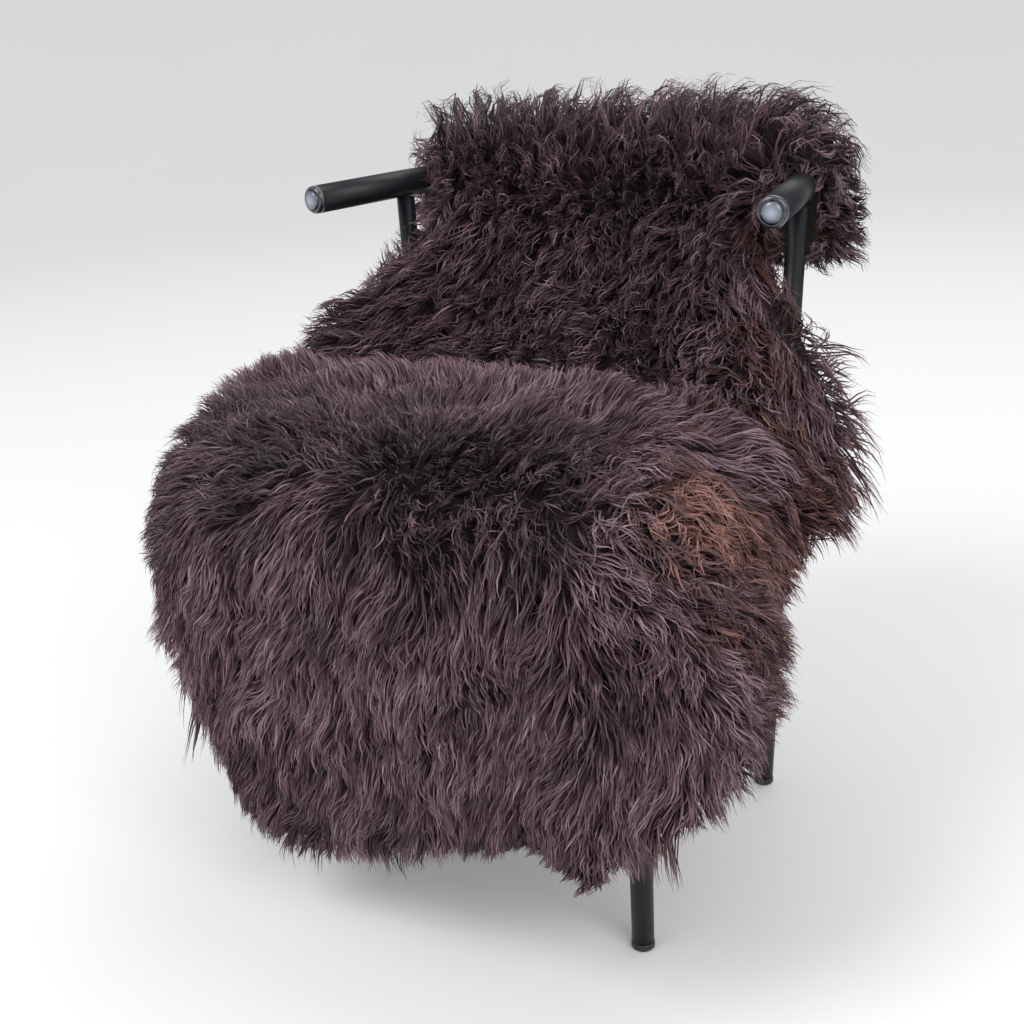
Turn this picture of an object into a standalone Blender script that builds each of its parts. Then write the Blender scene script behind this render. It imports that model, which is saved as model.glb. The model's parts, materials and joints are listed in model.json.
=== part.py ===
"""A long-wool sheepskin rug draped over a plain round-bar metal chair.

The shapes are worked out about the middle of the chair on the floor, and then moved so that
the origin is the middle of the right front foot, where it stands. The sitter faces -Y, +X is
the chair's side that is on the right when it is seen from the front, and +Z is up.
The skin hangs over the bowed back rail, comes down inside the back, crosses the seat and
falls over the front and side edges. Everything soft is worked out from one surface,
drape(), which turns a place on the flat skin into a place in space.
"""
import math

import bpy
import numpy as np
from mathutils import Matrix

# Chair, in metres
RAIL_HEIGHT = 0.6865
RAIL_DIAMETER = 0.0306
RAIL_BACK = 0.3135
RAIL_BEND_LENGTH = 0.3047
RAIL_BEND_POWER = 1.689
RAIL_BEND_ANGLE = math.radians(79.27)
RAIL_ARM_LENGTH = 0.135
CAP_COLLAR = 0.0027
CAP_ROUNDING = 0.0040
CAP_ROUNDING_STEPS = 4
CAP_CROWN_INSET = 0.0064
CAP_CROWN_RISE = 0.0043
RAIL_STEPS = 28
REAR_FOOT = (0.2228, 0.1599)
REAR_POST_TOP = (0.2438, 0.1776)
REAR_LEG_DIAMETER = 0.0210
FRONT_FOOT = (0.2301, -0.1761)
FRONT_LEG_TOP = (0.2301, -0.1761)
FRONT_LEG_DIAMETER = 0.0224
FRONT_LEG_TOP_DIAMETER = 0.0260
GLIDE_HEIGHT = 0.0080
GLIDE_FLARE = 0.0006
SEAT_TOP = 0.4515
SEAT_THICKNESS = 0.0120
SEAT_HALF_WIDTH = 0.2140
SEAT_FRONT = -0.2110
SEAT_REAR = 0.1660
SEAT_CORNER = 0.0500
SEAT_CORNER_STEPS = 6
SEAT_EASING = 0.0050
EASING_SHARE = 0.3
STRETCHER_DIAMETER = 0.0180
TOUCH_GAP = 0.0003

# Skin, in metres
HIDE_THICKNESS = 0.0025
PILE_GAP = 0.0004
REST_GAP = 0.0006
EDGE_TAPER = 0.16
EDGE_TAPER_POWER = 6
SWELL_HEIGHT = 0.55
CROWN_SWELL = 0.60
RAIL_CLEARANCE = 0.0030
HEM_DROP = 0.095
SEAT_START = 0.040
FRONT_BEND = 0.038
SIDE_SHARE_POWER = 3
HELD_SHARE = 0.5
NORMAL_STEP = 0.002
WRAP_ANGLE = math.radians(150.0)
WRAP_ANGLE_AT_SIDE = math.radians(168.0)
BACK_PULL = 0.26
BACK_PULL_AT_SIDE = 0.02
CREASE_PULL = 0.30
CREASE_PULL_AT_SIDE = 0.05
SEAT_MARGIN = 0.012
FRONT_SPLAY = math.radians(2.0)
CORNER_FLARE = math.radians(10.0)
HEM_POWER = 3.0
HEM_SKEW = 0.34
HEM_SKEW_REACH = 0.17
HEM_CORNER_AT = 0.30
BACK_CORNER = 0.045
FRONT_CORNER_LEFT = 0.28
FRONT_CORNER_RIGHT = 0.036

# Lengths along the middle of the skin: outside the rail, round it, inside the back, seat and fall
LENGTH_OUTSIDE = HEM_DROP
LENGTH_ROUND = 0.050
LENGTH_BACK = 0.310
LENGTH_SEAT = SEAT_START - SEAT_FRONT + SEAT_MARGIN
LENGTH_FALL = 0.350

# One row for each section across the skin. Along is measured from the back hem; left and
# right are the widths to each side of the middle; loft is the height of the wool; rim is how
# far the wool swells past the cut edge; lift turns the edge locks from outward to upright;
# the flares are the angles, in degrees, at which each side falls away from straight down;
# bend is the radius at which the sides turn down; lock is the length of the edge locks, and
# where it is under LOCK_SHORTEST the edge is left bare, as it is at the skin's narrow waist.
SECTIONS = (
    dict(name="back hem", along=0.000, left=0.246, right=0.262, loft=0.048, rim=0.016, lift=5,
         left_flare=5, right_flare=5, bend=0.040, lock=0.044),
    dict(name="rail outside", along=0.095, left=0.256, right=0.270, loft=0.066, rim=0.008, lift=18,
         left_flare=5, right_flare=5, bend=0.040, lock=0.040),
    dict(name="rail inside", along=0.145, left=0.256, right=0.270, loft=0.074, rim=0.002, lift=26,
         left_flare=5, right_flare=5, bend=0.040, lock=0.034),
    dict(name="upper back", along=0.230, left=0.248, right=0.258, loft=0.058, rim=-0.003, lift=8,
         left_flare=45, right_flare=45, bend=0.040, lock=0.000),
    dict(name="lower back", along=0.350, left=0.324, right=0.346, loft=0.050, rim=-0.002, lift=0,
         left_flare=62, right_flare=64, bend=0.040, lock=0.036),
    dict(name="seat rear", along=0.445, left=0.345, right=0.344, loft=0.054, rim=0.006, lift=0,
         left_flare=86, right_flare=58, bend=0.040, lock=0.044),
    dict(name="seat middle", along=0.530, left=0.338, right=0.340, loft=0.054, rim=0.010, lift=0,
         left_flare=88, right_flare=18, bend=0.032, lock=0.044),
    dict(name="seat fore", along=0.620, left=0.322, right=0.412, loft=0.055, rim=0.014, lift=0,
         left_flare=80, right_flare=22, bend=0.032, lock=0.045),
    dict(name="seat front", along=0.710, left=0.288, right=0.434, loft=0.054, rim=0.016, lift=0,
         left_flare=36, right_flare=24, bend=0.034, lock=0.045),
    dict(name="upper fall", along=0.820, left=0.284, right=0.425, loft=0.054, rim=0.018, lift=0,
         left_flare=8, right_flare=20, bend=0.034, lock=0.046),
    dict(name="lower fall", along=0.940, left=0.290, right=0.380, loft=0.052, rim=0.018, lift=0,
         left_flare=6, right_flare=12, bend=0.034, lock=0.046),
    dict(name="front hem", along=1.060, left=0.270, right=0.330, loft=0.044, rim=0.018, lift=0,
         left_flare=6, right_flare=10, bend=0.034, lock=0.046),
)

# Cells of the skin's grid, for each stretch along it and across it
CELLS_OUTSIDE = 3
CELLS_ROUND = 6
CELLS_BACK = 9
CELLS_SEAT = 8
CELLS_FALL = 11
CELLS_LEFT = 4
CELLS_MIDDLE = 15
CELLS_RIGHT = 7
COMB_PASSES = 3

# Lumps of the wool: wave lengths in metres along and across, where each starts, and height
LUMPS = (
    dict(along=0.118, across=0.134, start=0.4, shift=0.7, height=0.0036),
    dict(along=0.091, across=0.147, start=2.1, shift=3.6, height=0.0034),
    dict(along=0.169, across=0.113, start=4.4, shift=7.5, height=0.0034),
    dict(along=0.104, across=0.098, start=1.3, shift=2.2, height=0.0030),
)

# Locks round the edge
STRIP_LENGTH = 0.32
LOCK_PITCH = 0.0125
LOCK_SHORTEST = 0.027
STRIP_WIDTH = 0.0045
STRIP_HEIGHT = 0.0072
STRIP_OFFSET = 0.0008
LOCK_SPREAD = 0.25
LOCK_LIFT_SPREAD = 0.16
LOCK_LEAN = 0.06
LOCK_WAIST = 0.66
LOCK_DROOP = 0.008
WAIST_DROOP = 0.002
LOCK_SEED = 11


def clear_scene():
    """Removes every object, so that the script can be run again."""
    for thing in list(bpy.data.objects):
        bpy.data.objects.remove(thing, do_unlink=True)


def finish(name, colour, roughness, metallic):
    """A plain material with one colour."""
    made = bpy.data.materials.new(name)
    made.use_nodes = True
    shader = made.node_tree.nodes["Principled BSDF"]
    shader.inputs["Base Color"].default_value = (*colour, 1.0)
    shader.inputs["Roughness"].default_value = roughness
    shader.inputs["Metallic"].default_value = metallic
    return made


def add_mesh(name, points, faces, material, sharp=35.0):
    """One object from points and faces, shaded smooth but for its sharp edges."""
    mesh = bpy.data.meshes.new(name)
    mesh.from_pydata([tuple(map(float, p)) for p in points], [], [tuple(map(int, f)) for f in faces])
    mesh.update()
    mesh.shade_smooth()
    mesh.set_sharp_from_angle(angle=math.radians(sharp))
    mesh.materials.append(material)
    made = bpy.data.objects.new(name, mesh)
    bpy.context.scene.collection.objects.link(made)
    return made


def add_bar(name, path, radii, material, sides=16):
    """A round bar along a path of points, with a radius at each point and flat ends."""
    curve = bpy.data.curves.new(name, "CURVE")
    curve.dimensions = "3D"
    curve.bevel_depth = 1.0
    curve.bevel_resolution = sides // 4 - 1
    curve.use_fill_caps = True
    curve.twist_mode = "Z_UP"
    line = curve.splines.new("POLY")
    line.points.add(len(path) - 1)
    for point, place, radius in zip(line.points, path, radii):
        point.co = (*map(float, place), 1.0)
        point.radius = float(radius)
    curve.materials.append(material)
    made = bpy.data.objects.new(name, curve)
    bpy.context.scene.collection.objects.link(made)
    return made


def spun(name, profile, place, axis, material, sides=24):
    """A turned piece: radius and height pairs spun round an axis from a place."""
    axis = np.asarray(axis, float) / np.linalg.norm(axis)
    side = np.cross(axis, (0.0, 0.0, 1.0))
    if np.linalg.norm(side) < 0.1:
        side = np.array((1.0, 0.0, 0.0))
    side = side / np.linalg.norm(side)
    other = np.cross(axis, side)
    turn = np.arange(sides) * 2.0 * math.pi / sides
    ring = np.cos(turn)[:, None] * side + np.sin(turn)[:, None] * other
    points = np.concatenate([np.asarray(place) + axis * height + ring * radius for radius, height in profile])
    faces = [tuple(range(sides - 1, -1, -1))]
    for row in range(len(profile) - 1):
        for k in range(sides):
            nxt = (k + 1) % sides
            faces.append((row * sides + k, row * sides + nxt, (row + 1) * sides + nxt, (row + 1) * sides + k))
    last = (len(profile) - 1) * sides
    faces.append(tuple(range(last, last + sides)))
    return add_mesh(name, points, faces, material)


def smooth_step(t):
    """Rises from 0 to 1 with level ends."""
    t = np.clip(t, 0.0, 1.0)
    return t * t * (3.0 - 2.0 * t)


def section(column, along):
    """A column of the section table at any distance along, as a curve with no corners."""
    where = np.array([row["along"] for row in SECTIONS])
    value = np.array([row[column] for row in SECTIONS], float)
    slope = np.gradient(value, where)
    k = np.clip(np.searchsorted(where, along, side="right") - 1, 0, len(where) - 2)
    span = where[k + 1] - where[k]
    t = np.clip((along - where[k]) / span, 0.0, 1.0)
    start = (1.0 + 2.0 * t) * (1.0 - t) ** 2 * value[k] + t * (1.0 - t) ** 2 * span * slope[k]
    end = t * t * (3.0 - 2.0 * t) * value[k + 1] + t * t * (t - 1.0) * span * slope[k + 1]
    return start + end


def rail_plan(arc):
    """The back rail's plan at a distance along it from its middle: x, y and its outward normal.

    The bar turns ever faster until the bend ends, then runs straight as an arm.
    """
    steps = 160
    arc = np.asarray(arc, float)
    bent = np.minimum(np.abs(arc), RAIL_BEND_LENGTH)
    share = (np.arange(steps) + 0.5) / steps
    turned = RAIL_BEND_ANGLE * (bent[..., None] / RAIL_BEND_LENGTH * share) ** RAIL_BEND_POWER
    straight = np.abs(arc) - bent
    angle = RAIL_BEND_ANGLE * (bent / RAIL_BEND_LENGTH) ** RAIL_BEND_POWER
    x = bent * np.cos(turned).mean(-1) + straight * np.cos(angle)
    y = RAIL_BACK - bent * np.sin(turned).mean(-1) - straight * np.sin(angle)
    side = np.where(arc < 0.0, -1.0, 1.0)
    return side * x, y, side * np.sin(angle), np.cos(angle)


def wrap_point(arc, turn):
    """A point of the skin's middle layer on its way round the rail, turn 0 being outside."""
    x, y, nx, ny = rail_plan(arc)
    radius = RAIL_DIAMETER / 2 + RAIL_CLEARANCE + HIDE_THICKNESS / 2
    out = radius * np.cos(turn)
    return np.stack([x + nx * out, y + ny * out, RAIL_HEIGHT + radius * np.sin(turn)], -1)


def wrap_direction(arc, turn):
    """The way that the skin runs where it leaves the rail."""
    x, y, nx, ny = rail_plan(arc)
    return np.stack([-nx * np.sin(turn), -ny * np.sin(turn), np.cos(turn)], -1)


def cloth_point(across, y, along):
    """The skin laid on the seat: level on it, and bent down past its front and side edges.

    A place past the rounded edge falls from the nearest point of that edge. It goes out by
    the reach and down by the drop of a quarter bend followed by a straight, splayed fall.
    """
    corner_x = SEAT_HALF_WIDTH - SEAT_CORNER
    corner_y = SEAT_FRONT + SEAT_CORNER
    held = SEAT_CORNER + SEAT_MARGIN
    side = np.where(across < 0.0, -1.0, 1.0)
    past_x = np.maximum(np.abs(across) - corner_x, 0.0)
    past_y = np.maximum(corner_y - y, 0.0)
    length = np.hypot(past_x, past_y)
    safe = np.maximum(length, 1e-9)
    nx = np.where(length > 0.0, past_x / safe, 1.0)
    ny = past_y / safe
    fall = np.maximum(length - held, 0.0)
    flare = np.radians(np.where(across < 0.0, section("left_flare", along), section("right_flare", along)))
    splay = FRONT_SPLAY * ny ** 2 + flare * nx ** 2 + CORNER_FLARE * (2.0 * nx * ny) ** 2
    radius = FRONT_BEND * ny ** 2 + section("bend", along) * nx ** 2
    bend = math.pi / 2 - splay
    angle = np.minimum(fall / radius, bend)
    rest = np.maximum(fall - radius * bend, 0.0)
    reach = radius * np.sin(angle) + rest * np.cos(bend)
    drop = radius * (1.0 - np.cos(angle)) + rest * np.sin(bend)
    plan = np.minimum(length, held) + reach
    x = side * (np.minimum(np.abs(across), corner_x) + nx * plan)
    level = SEAT_TOP + REST_GAP + HIDE_THICKNESS / 2
    return np.stack([x, np.maximum(y, corner_y) - ny * plan, level - drop], -1)


def across_at(v, along):
    """Distance from the skin's middle line at v, which is -1 at the left edge and 1 at the right.

    Up to the held share of v the lines keep to the seat's width, then they spread to the edge.
    """
    width = np.where(v < 0.0, section("left", along), section("right", along))
    held = SEAT_HALF_WIDTH + SEAT_MARGIN
    inner = np.minimum(np.abs(v), HELD_SHARE) / HELD_SHARE
    outer = np.maximum(np.abs(v) - HELD_SHARE, 0.0) / (1.0 - HELD_SHARE)
    return np.sign(v) * (inner * held + outer * (width - held))


def drape(v, along):
    """The skin's middle layer, at v across it and a distance along it."""
    v, along = np.broadcast_arrays(np.asarray(v, float), np.asarray(along, float))
    across = across_at(v, along)
    end_outside = LENGTH_OUTSIDE
    end_round = end_outside + LENGTH_ROUND
    end_back = end_round + LENGTH_BACK
    side_share = np.clip(np.abs(across) / SEAT_HALF_WIDTH, 0.0, 1.0)
    at_side = side_share ** SIDE_SHARE_POWER
    leave = WRAP_ANGLE + (WRAP_ANGLE_AT_SIDE - WRAP_ANGLE) * at_side

    outside = wrap_point(across, np.zeros_like(v))
    outside[..., 2] -= np.maximum(end_outside - along, 0.0)
    share = np.clip((along - end_outside) / LENGTH_ROUND, 0.0, 1.0)
    turned = wrap_point(across, share * leave)

    t = np.clip((along - end_round) / LENGTH_BACK, 0.0, 1.0)[..., None]
    top_across = across_at(v, end_round)
    low_across = across_at(v, end_back)
    top = wrap_point(top_across, leave)
    down = wrap_direction(top_across, leave)
    low = cloth_point(low_across, np.full_like(v, SEAT_START), end_back)
    forward = np.array((0.0, -1.0, 0.0))
    back_pull = (BACK_PULL + (BACK_PULL_AT_SIDE - BACK_PULL) * at_side)[..., None]
    crease_pull = (CREASE_PULL + (CREASE_PULL_AT_SIDE - CREASE_PULL) * at_side)[..., None]
    back = (
        (1 + 2 * t) * (1 - t) ** 2 * top
        + t * (1 - t) ** 2 * back_pull * down
        + t * t * (3 - 2 * t) * low
        + t * t * (t - 1) * crease_pull * forward
    )
    plain_across = top_across + (low_across - top_across) * smooth_step(t[..., 0])
    back[..., 0] += across - plain_across

    laid = cloth_point(across, SEAT_START - np.maximum(along - end_back, 0.0), along)
    place = np.where((along < end_outside)[..., None], outside, turned)
    place = np.where((along > end_round)[..., None], back, place)
    return np.where((along > end_back)[..., None], laid, place)


def stretches():
    """Distances along at which the five stretches of the skin end, from the back hem on."""
    return np.cumsum((0.0, LENGTH_OUTSIDE, LENGTH_ROUND, LENGTH_BACK, LENGTH_SEAT, LENGTH_FALL))


def along_lines():
    """Distances along of the grid's lines, before the hems are rounded."""
    cells = (CELLS_OUTSIDE, CELLS_ROUND, CELLS_BACK, CELLS_SEAT, CELLS_FALL)
    ends = stretches()
    lines = [np.linspace(ends[k], ends[k + 1], cells[k], endpoint=False) for k in range(len(cells))]
    return np.concatenate(lines + [ends[-1:]])


def across_lines():
    """Values of v at the grid's lines: the sides are cut finer than the middle."""
    left = np.linspace(-1.0, -HELD_SHARE, CELLS_LEFT, endpoint=False)
    middle = np.linspace(-HELD_SHARE, HELD_SHARE, CELLS_MIDDLE, endpoint=False)
    right = np.linspace(HELD_SHARE, 1.0, CELLS_RIGHT + 1)
    return np.concatenate([left, middle, right])


def place_along(line, v):
    """Distance along of a grid line at v, with the hems cut round and the front one askew."""
    ends = stretches()
    across = across_at(v, line)
    rounded = (np.abs(across) / HEM_CORNER_AT) ** HEM_POWER
    corner = np.where(v < 0.0, FRONT_CORNER_LEFT, FRONT_CORNER_RIGHT)
    skew = HEM_SKEW * HEM_SKEW_REACH * np.tanh(across / HEM_SKEW_REACH)
    near_back = 1.0 - smooth_step(line / ends[1])
    near_front = np.clip((line - ends[4]) / LENGTH_FALL, 0.0, 1.0)
    return line + BACK_CORNER * rounded * near_back - (corner * rounded + skew) * near_front


def surface(line, v):
    """Places and wool-side normals of the skin on its grid lines."""
    ahead = np.minimum(line + NORMAL_STEP, stretches()[-1])
    behind = np.maximum(line - NORMAL_STEP, 0.0)
    right = np.minimum(v + NORMAL_STEP, 1.0)
    left = np.maximum(v - NORMAL_STEP, -1.0)
    along_way = drape(v, place_along(ahead, v)) - drape(v, place_along(behind, v))
    across_way = drape(right, place_along(line, right)) - drape(left, place_along(line, left))
    normal = np.cross(along_way, across_way)
    normal = normal / np.linalg.norm(normal, axis=-1, keepdims=True)
    return drape(v, place_along(line, v)), normal


def wool_lumps(line, v):
    """How far the wool's lumps stand above or below its even height."""
    along = place_along(line, v)
    across = across_at(v, along)
    height = 0.0
    for lump in LUMPS:
        wave_along = np.sin(2 * math.pi * along / lump["along"] + lump["start"])
        wave_across = np.cos(2 * math.pi * across / lump["across"] + lump["shift"])
        height = height + lump["height"] * wave_along * wave_across
    return height


def grid_faces(rows, columns, start, flip):
    """Triangles of a grid of points, all cut by the same diagonal."""
    k = np.arange(rows - 1)[:, None] * columns + np.arange(columns - 1)[None, :] + start
    k = k.ravel()
    first = np.stack([k, k + 1, k + columns + 1], -1)
    second = np.stack([k, k + columns + 1, k + columns], -1)
    faces = np.concatenate([first, second])
    return faces[:, ::-1] if flip else faces


def rim_order(rows, columns):
    """Indices of a grid's edge points, once round."""
    grid = np.arange(rows * columns).reshape(rows, columns)
    return np.concatenate([grid[0, :-1], grid[:-1, -1], grid[-1, :0:-1], grid[:0:-1, 0]])


def band_faces(lower, upper):
    """Triangles between two closed rings with the same count of points."""
    following_lower = np.roll(lower, -1)
    following_upper = np.roll(upper, -1)
    first = np.stack([lower, following_lower, following_upper], -1)
    second = np.stack([lower, following_upper, upper], -1)
    return np.concatenate([first, second])


def rim_outward(places, normals, ring):
    """The direction away from the skin at each point of its edge."""
    edge = places[ring]
    along_edge = np.roll(edge, -1, axis=0) - np.roll(edge, 1, axis=0)
    outward = np.cross(normals[ring], along_edge)
    return outward / np.linalg.norm(outward, axis=-1, keepdims=True)


def skin_grid():
    """The grid of places and normals that the hide and the wool share."""
    line, v = np.meshgrid(along_lines(), across_lines(), indexing="ij")
    places, normals = surface(line, v)
    return line, v, places.reshape(-1, 3), normals.reshape(-1, 3)


def combed(points, rows, columns):
    """A grid of points drawn toward the mean of their neighbours, all but the edge."""
    grid = points.reshape(rows, columns, 3).copy()
    for _ in range(COMB_PASSES):
        mean = (grid[:-2, 1:-1] + grid[2:, 1:-1] + grid[1:-1, :-2] + grid[1:-1, 2:]) / 4
        grid[1:-1, 1:-1] = grid[1:-1, 1:-1] * 0.5 + mean * 0.5
    return grid.reshape(-1, 3)


def add_hide(material):
    """The tanned skin: a thin sheet either side of the middle layer."""
    line, v, places, normals = skin_grid()
    rows, columns = line.shape
    under = places - normals * HIDE_THICKNESS / 2
    over = places + normals * HIDE_THICKNESS / 2
    count = rows * columns
    ring = rim_order(rows, columns)
    faces = np.concatenate([
        grid_faces(rows, columns, 0, False),
        grid_faces(rows, columns, count, True),
        band_faces(ring, ring + count)[:, ::-1],
    ])
    return add_mesh("hide", np.concatenate([under, over]), faces, material)


def add_wool(material):
    """The wool as one lumpy slab on the hide, its sides swollen past the cut edge."""
    line, v, places, normals = skin_grid()
    rows, columns = line.shape
    count = rows * columns
    height = (section("loft", place_along(line, v)) * (1.0 - EDGE_TAPER * v ** EDGE_TAPER_POWER)).ravel()
    rim = section("rim", place_along(line, v)).ravel()
    foot = HIDE_THICKNESS / 2 + PILE_GAP
    under = places + normals * foot
    ring = rim_order(rows, columns)
    outward = rim_outward(places, normals, ring)
    over = places + normals * (foot + height)[:, None]
    over[ring] += outward * (rim[ring] * CROWN_SWELL)[:, None]
    over = combed(over, rows, columns) + normals * wool_lumps(line, v).reshape(-1, 1)
    step = STRIP_HEIGHT + 2 * STRIP_OFFSET + TOUCH_GAP
    waist = under[ring] + normals[ring] * step
    swell = under[ring] + normals[ring] * (SWELL_HEIGHT * height[ring])[:, None] + outward * rim[ring][:, None]
    low_ring = np.arange(len(ring)) + 2 * count
    high_ring = low_ring + len(ring)
    faces = np.concatenate([
        grid_faces(rows, columns, 0, False),
        grid_faces(rows, columns, count, True),
        band_faces(ring, low_ring)[:, ::-1],
        band_faces(low_ring, high_ring)[:, ::-1],
        band_faces(high_ring, ring + count)[:, ::-1],
    ])
    return add_mesh("wool", np.concatenate([under, over, waist, swell]), faces, material)


def edge_line():
    """The skin's edge once round: places, normals, ways out, and the locks' lift and length."""
    line, v, places, normals = skin_grid()
    rows, columns = line.shape
    ring = rim_order(rows, columns)
    along = place_along(line, v).ravel()[ring]
    outward = rim_outward(places, normals, ring)
    return places[ring], normals[ring], outward, np.radians(section("lift", along)), section("lock", along)


def between(first, last, shares):
    """Values at shares of the way between two."""
    return first + (last - first) * shares.reshape((-1,) + (1,) * np.ndim(first))


def strip_edges(steps, reach):
    """The edge's stretches that carry locks, each cut into strips of about one length."""
    count = len(steps)
    bare = np.minimum(reach, np.roll(reach, -1)) < LOCK_SHORTEST
    order = (np.arange(count) + np.flatnonzero(bare)[0]) % count
    runs = np.split(order, np.flatnonzero(np.diff(bare[order].astype(int))) + 1)
    strips = []
    for run in (run for run in runs if not bare[run[0]]):
        middles = np.cumsum(steps[run]) - steps[run] / 2
        pieces = max(1, round(steps[run].sum() / STRIP_LENGTH))
        owner = (middles / steps[run].sum() * pieces).astype(int)
        strips += [run[owner == piece] for piece in range(pieces)]
    return strips


def add_locks(material):
    """Locks of wool round the edge, each row of them rooted in one narrow strip.

    The strips follow the hide's own edge points, so that nothing cuts its corners.
    """
    line = edge_line()
    places, reach = line[0], line[-1]
    steps = np.linalg.norm(np.roll(places, -1, axis=0) - places, axis=-1)
    share = np.random.default_rng(LOCK_SEED)
    for strip, edges in enumerate(strip_edges(steps, reach)):
        rows = [[] for _ in line]
        for edge in edges:
            following = (edge + 1) % len(places)
            cells = max(1, round(steps[edge] / LOCK_PITCH))
            shares = np.arange(cells) / cells
            if edge == edges[0]:
                shares[0] = TOUCH_GAP / steps[edge]
            if edge == edges[-1]:
                shares = np.append(shares, 1.0 - TOUCH_GAP / steps[edge])
            for row, values in zip(rows, line):
                row.append(between(values[edge], values[following], shares))
        place, normal, out, rise, reach_here = (np.concatenate(row) for row in rows)
        add_strip(f"edge_locks_{strip + 1:02d}", place, normal, out, rise, reach_here, share, material)


def add_strip(name, place, normal, out, rise, reach, share, material):
    """One strip: a narrow band whose outer face is drawn out into a lock in every cell."""
    low = -HIDE_THICKNESS / 2
    corners = (
        (STRIP_OFFSET, low),
        (STRIP_OFFSET, low + STRIP_HEIGHT),
        (STRIP_OFFSET + STRIP_WIDTH, low + STRIP_HEIGHT),
        (STRIP_OFFSET + STRIP_WIDTH, low),
    )
    points = [place + out * across + normal * up for across, up in corners]
    count = len(place)
    verts = list(np.stack(points, 1).reshape(-1, 3))
    faces = [(0, 1, 2, 3)]
    last = (count - 1) * 4
    faces.append((last + 3, last + 2, last + 1, last))
    for cell in range(count - 1):
        a = cell * 4
        b = a + 4
        faces.append((a, b, b + 1, a + 1))
        faces.append((a + 1, b + 1, b + 2, a + 2))
        faces.append((a + 3, b + 3, b, a))
        root_index = (a + 2, b + 2, b + 3, a + 3)
        root = np.array([verts[i] for i in root_index])
        middle = root.mean(0)
        way = out[cell] + out[cell + 1]
        up = normal[cell] + normal[cell + 1]
        along = place[cell + 1] - place[cell]
        way, up, along = (d / np.linalg.norm(d) for d in (way, up, along))
        length = reach[cell] * (1.0 + LOCK_SPREAD * (share.random() - 0.5) * 2.0)
        angle = rise[cell] + LOCK_LIFT_SPREAD * (share.random() - 0.5) * 2.0
        lean = LOCK_LEAN * (share.random() - 0.5) * 2.0
        line = way * math.cos(angle) + up * math.sin(angle) + along * lean
        first = len(verts)
        for corner in root:
            verts.append(middle + (corner - middle) * LOCK_WAIST + line * length / 2 - (0.0, 0.0, WAIST_DROOP))
        tip = len(verts)
        verts.append(middle + line * length - (0.0, 0.0, LOCK_DROOP))
        for side in range(4):
            following = (side + 1) % 4
            one, two = root_index[side], root_index[following]
            three, four = first + following, first + side
            faces.append((one, two, three, four))
            faces.append((four, three, tip))
    add_mesh(name, verts, faces, material)


def rail_point(arc):
    """A point on the rail's centre line."""
    x, y, nx, ny = rail_plan(arc)
    return np.array((float(x), float(y), RAIL_HEIGHT))


def add_rail(metal, cap_finish):
    """The bowed back rail with its straight arms, and a domed cap in each end."""
    reach = RAIL_BEND_LENGTH + RAIL_ARM_LENGTH
    arcs = np.concatenate([
        [-reach],
        np.linspace(-RAIL_BEND_LENGTH, RAIL_BEND_LENGTH, RAIL_STEPS + 1),
        [reach],
    ])
    radius = RAIL_DIAMETER / 2
    add_bar("back_rail", [rail_point(arc) for arc in arcs], [radius] * len(arcs), metal)
    for side, label in ((-1, "left"), (1, "right")):
        end = rail_point(side * reach)
        axis = end - rail_point(side * RAIL_BEND_LENGTH)
        axis = axis / np.linalg.norm(axis)
        profile = [(radius, 0.0), (radius, CAP_COLLAR)]
        for step in range(1, CAP_ROUNDING_STEPS):
            turn = step / CAP_ROUNDING_STEPS * math.pi / 2
            profile.append((radius - CAP_ROUNDING * (1 - math.cos(turn)),
                            CAP_COLLAR + CAP_ROUNDING * math.sin(turn)))
        profile.append((radius - CAP_CROWN_INSET, CAP_COLLAR + CAP_CROWN_RISE))
        spun(f"rail_cap_{label}", profile, end + axis * TOUCH_GAP, axis, cap_finish)


def add_legs(metal, plastic):
    """Rear legs that rise to the rail, front legs up to the seat, and a glide under each."""
    rear_top = RAIL_HEIGHT - RAIL_DIAMETER / 2 - TOUCH_GAP
    front_top = SEAT_TOP - SEAT_THICKNESS - TOUCH_GAP
    start = GLIDE_HEIGHT + 2 * TOUCH_GAP
    for side, label in ((-1, "left"), (1, "right")):
        foot = np.array((side * REAR_FOOT[0], REAR_FOOT[1], 0.0))
        top = np.array((side * REAR_POST_TOP[0], REAR_POST_TOP[1], RAIL_HEIGHT))
        run = [foot + (top - foot) * height / RAIL_HEIGHT for height in (start, rear_top)]
        add_bar(f"rear_leg_{label}", run, [REAR_LEG_DIAMETER / 2] * 2, metal)
        glide(f"rear_glide_{label}", run[0], REAR_LEG_DIAMETER / 2, plastic)
        low = np.array((side * FRONT_FOOT[0], FRONT_FOOT[1], start))
        high = np.array((side * FRONT_LEG_TOP[0], FRONT_LEG_TOP[1], front_top))
        add_bar(f"front_leg_{label}", [low, high], [FRONT_LEG_DIAMETER / 2, FRONT_LEG_TOP_DIAMETER / 2], metal)
        glide(f"front_glide_{label}", low, FRONT_LEG_DIAMETER / 2, plastic)


def glide(name, leg_end, radius, plastic):
    """The foot under a leg, flat where it stands."""
    place = (leg_end[0], leg_end[1], 0.0)
    profile = [
        (radius - GLIDE_FLARE * 2, 0.0),
        (radius + GLIDE_FLARE, GLIDE_FLARE * 3),
        (radius + GLIDE_FLARE, GLIDE_HEIGHT - GLIDE_FLARE),
        (radius, GLIDE_HEIGHT),
    ]
    spun(name, profile, place, (0.0, 0.0, 1.0), plastic, sides=16)


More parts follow.
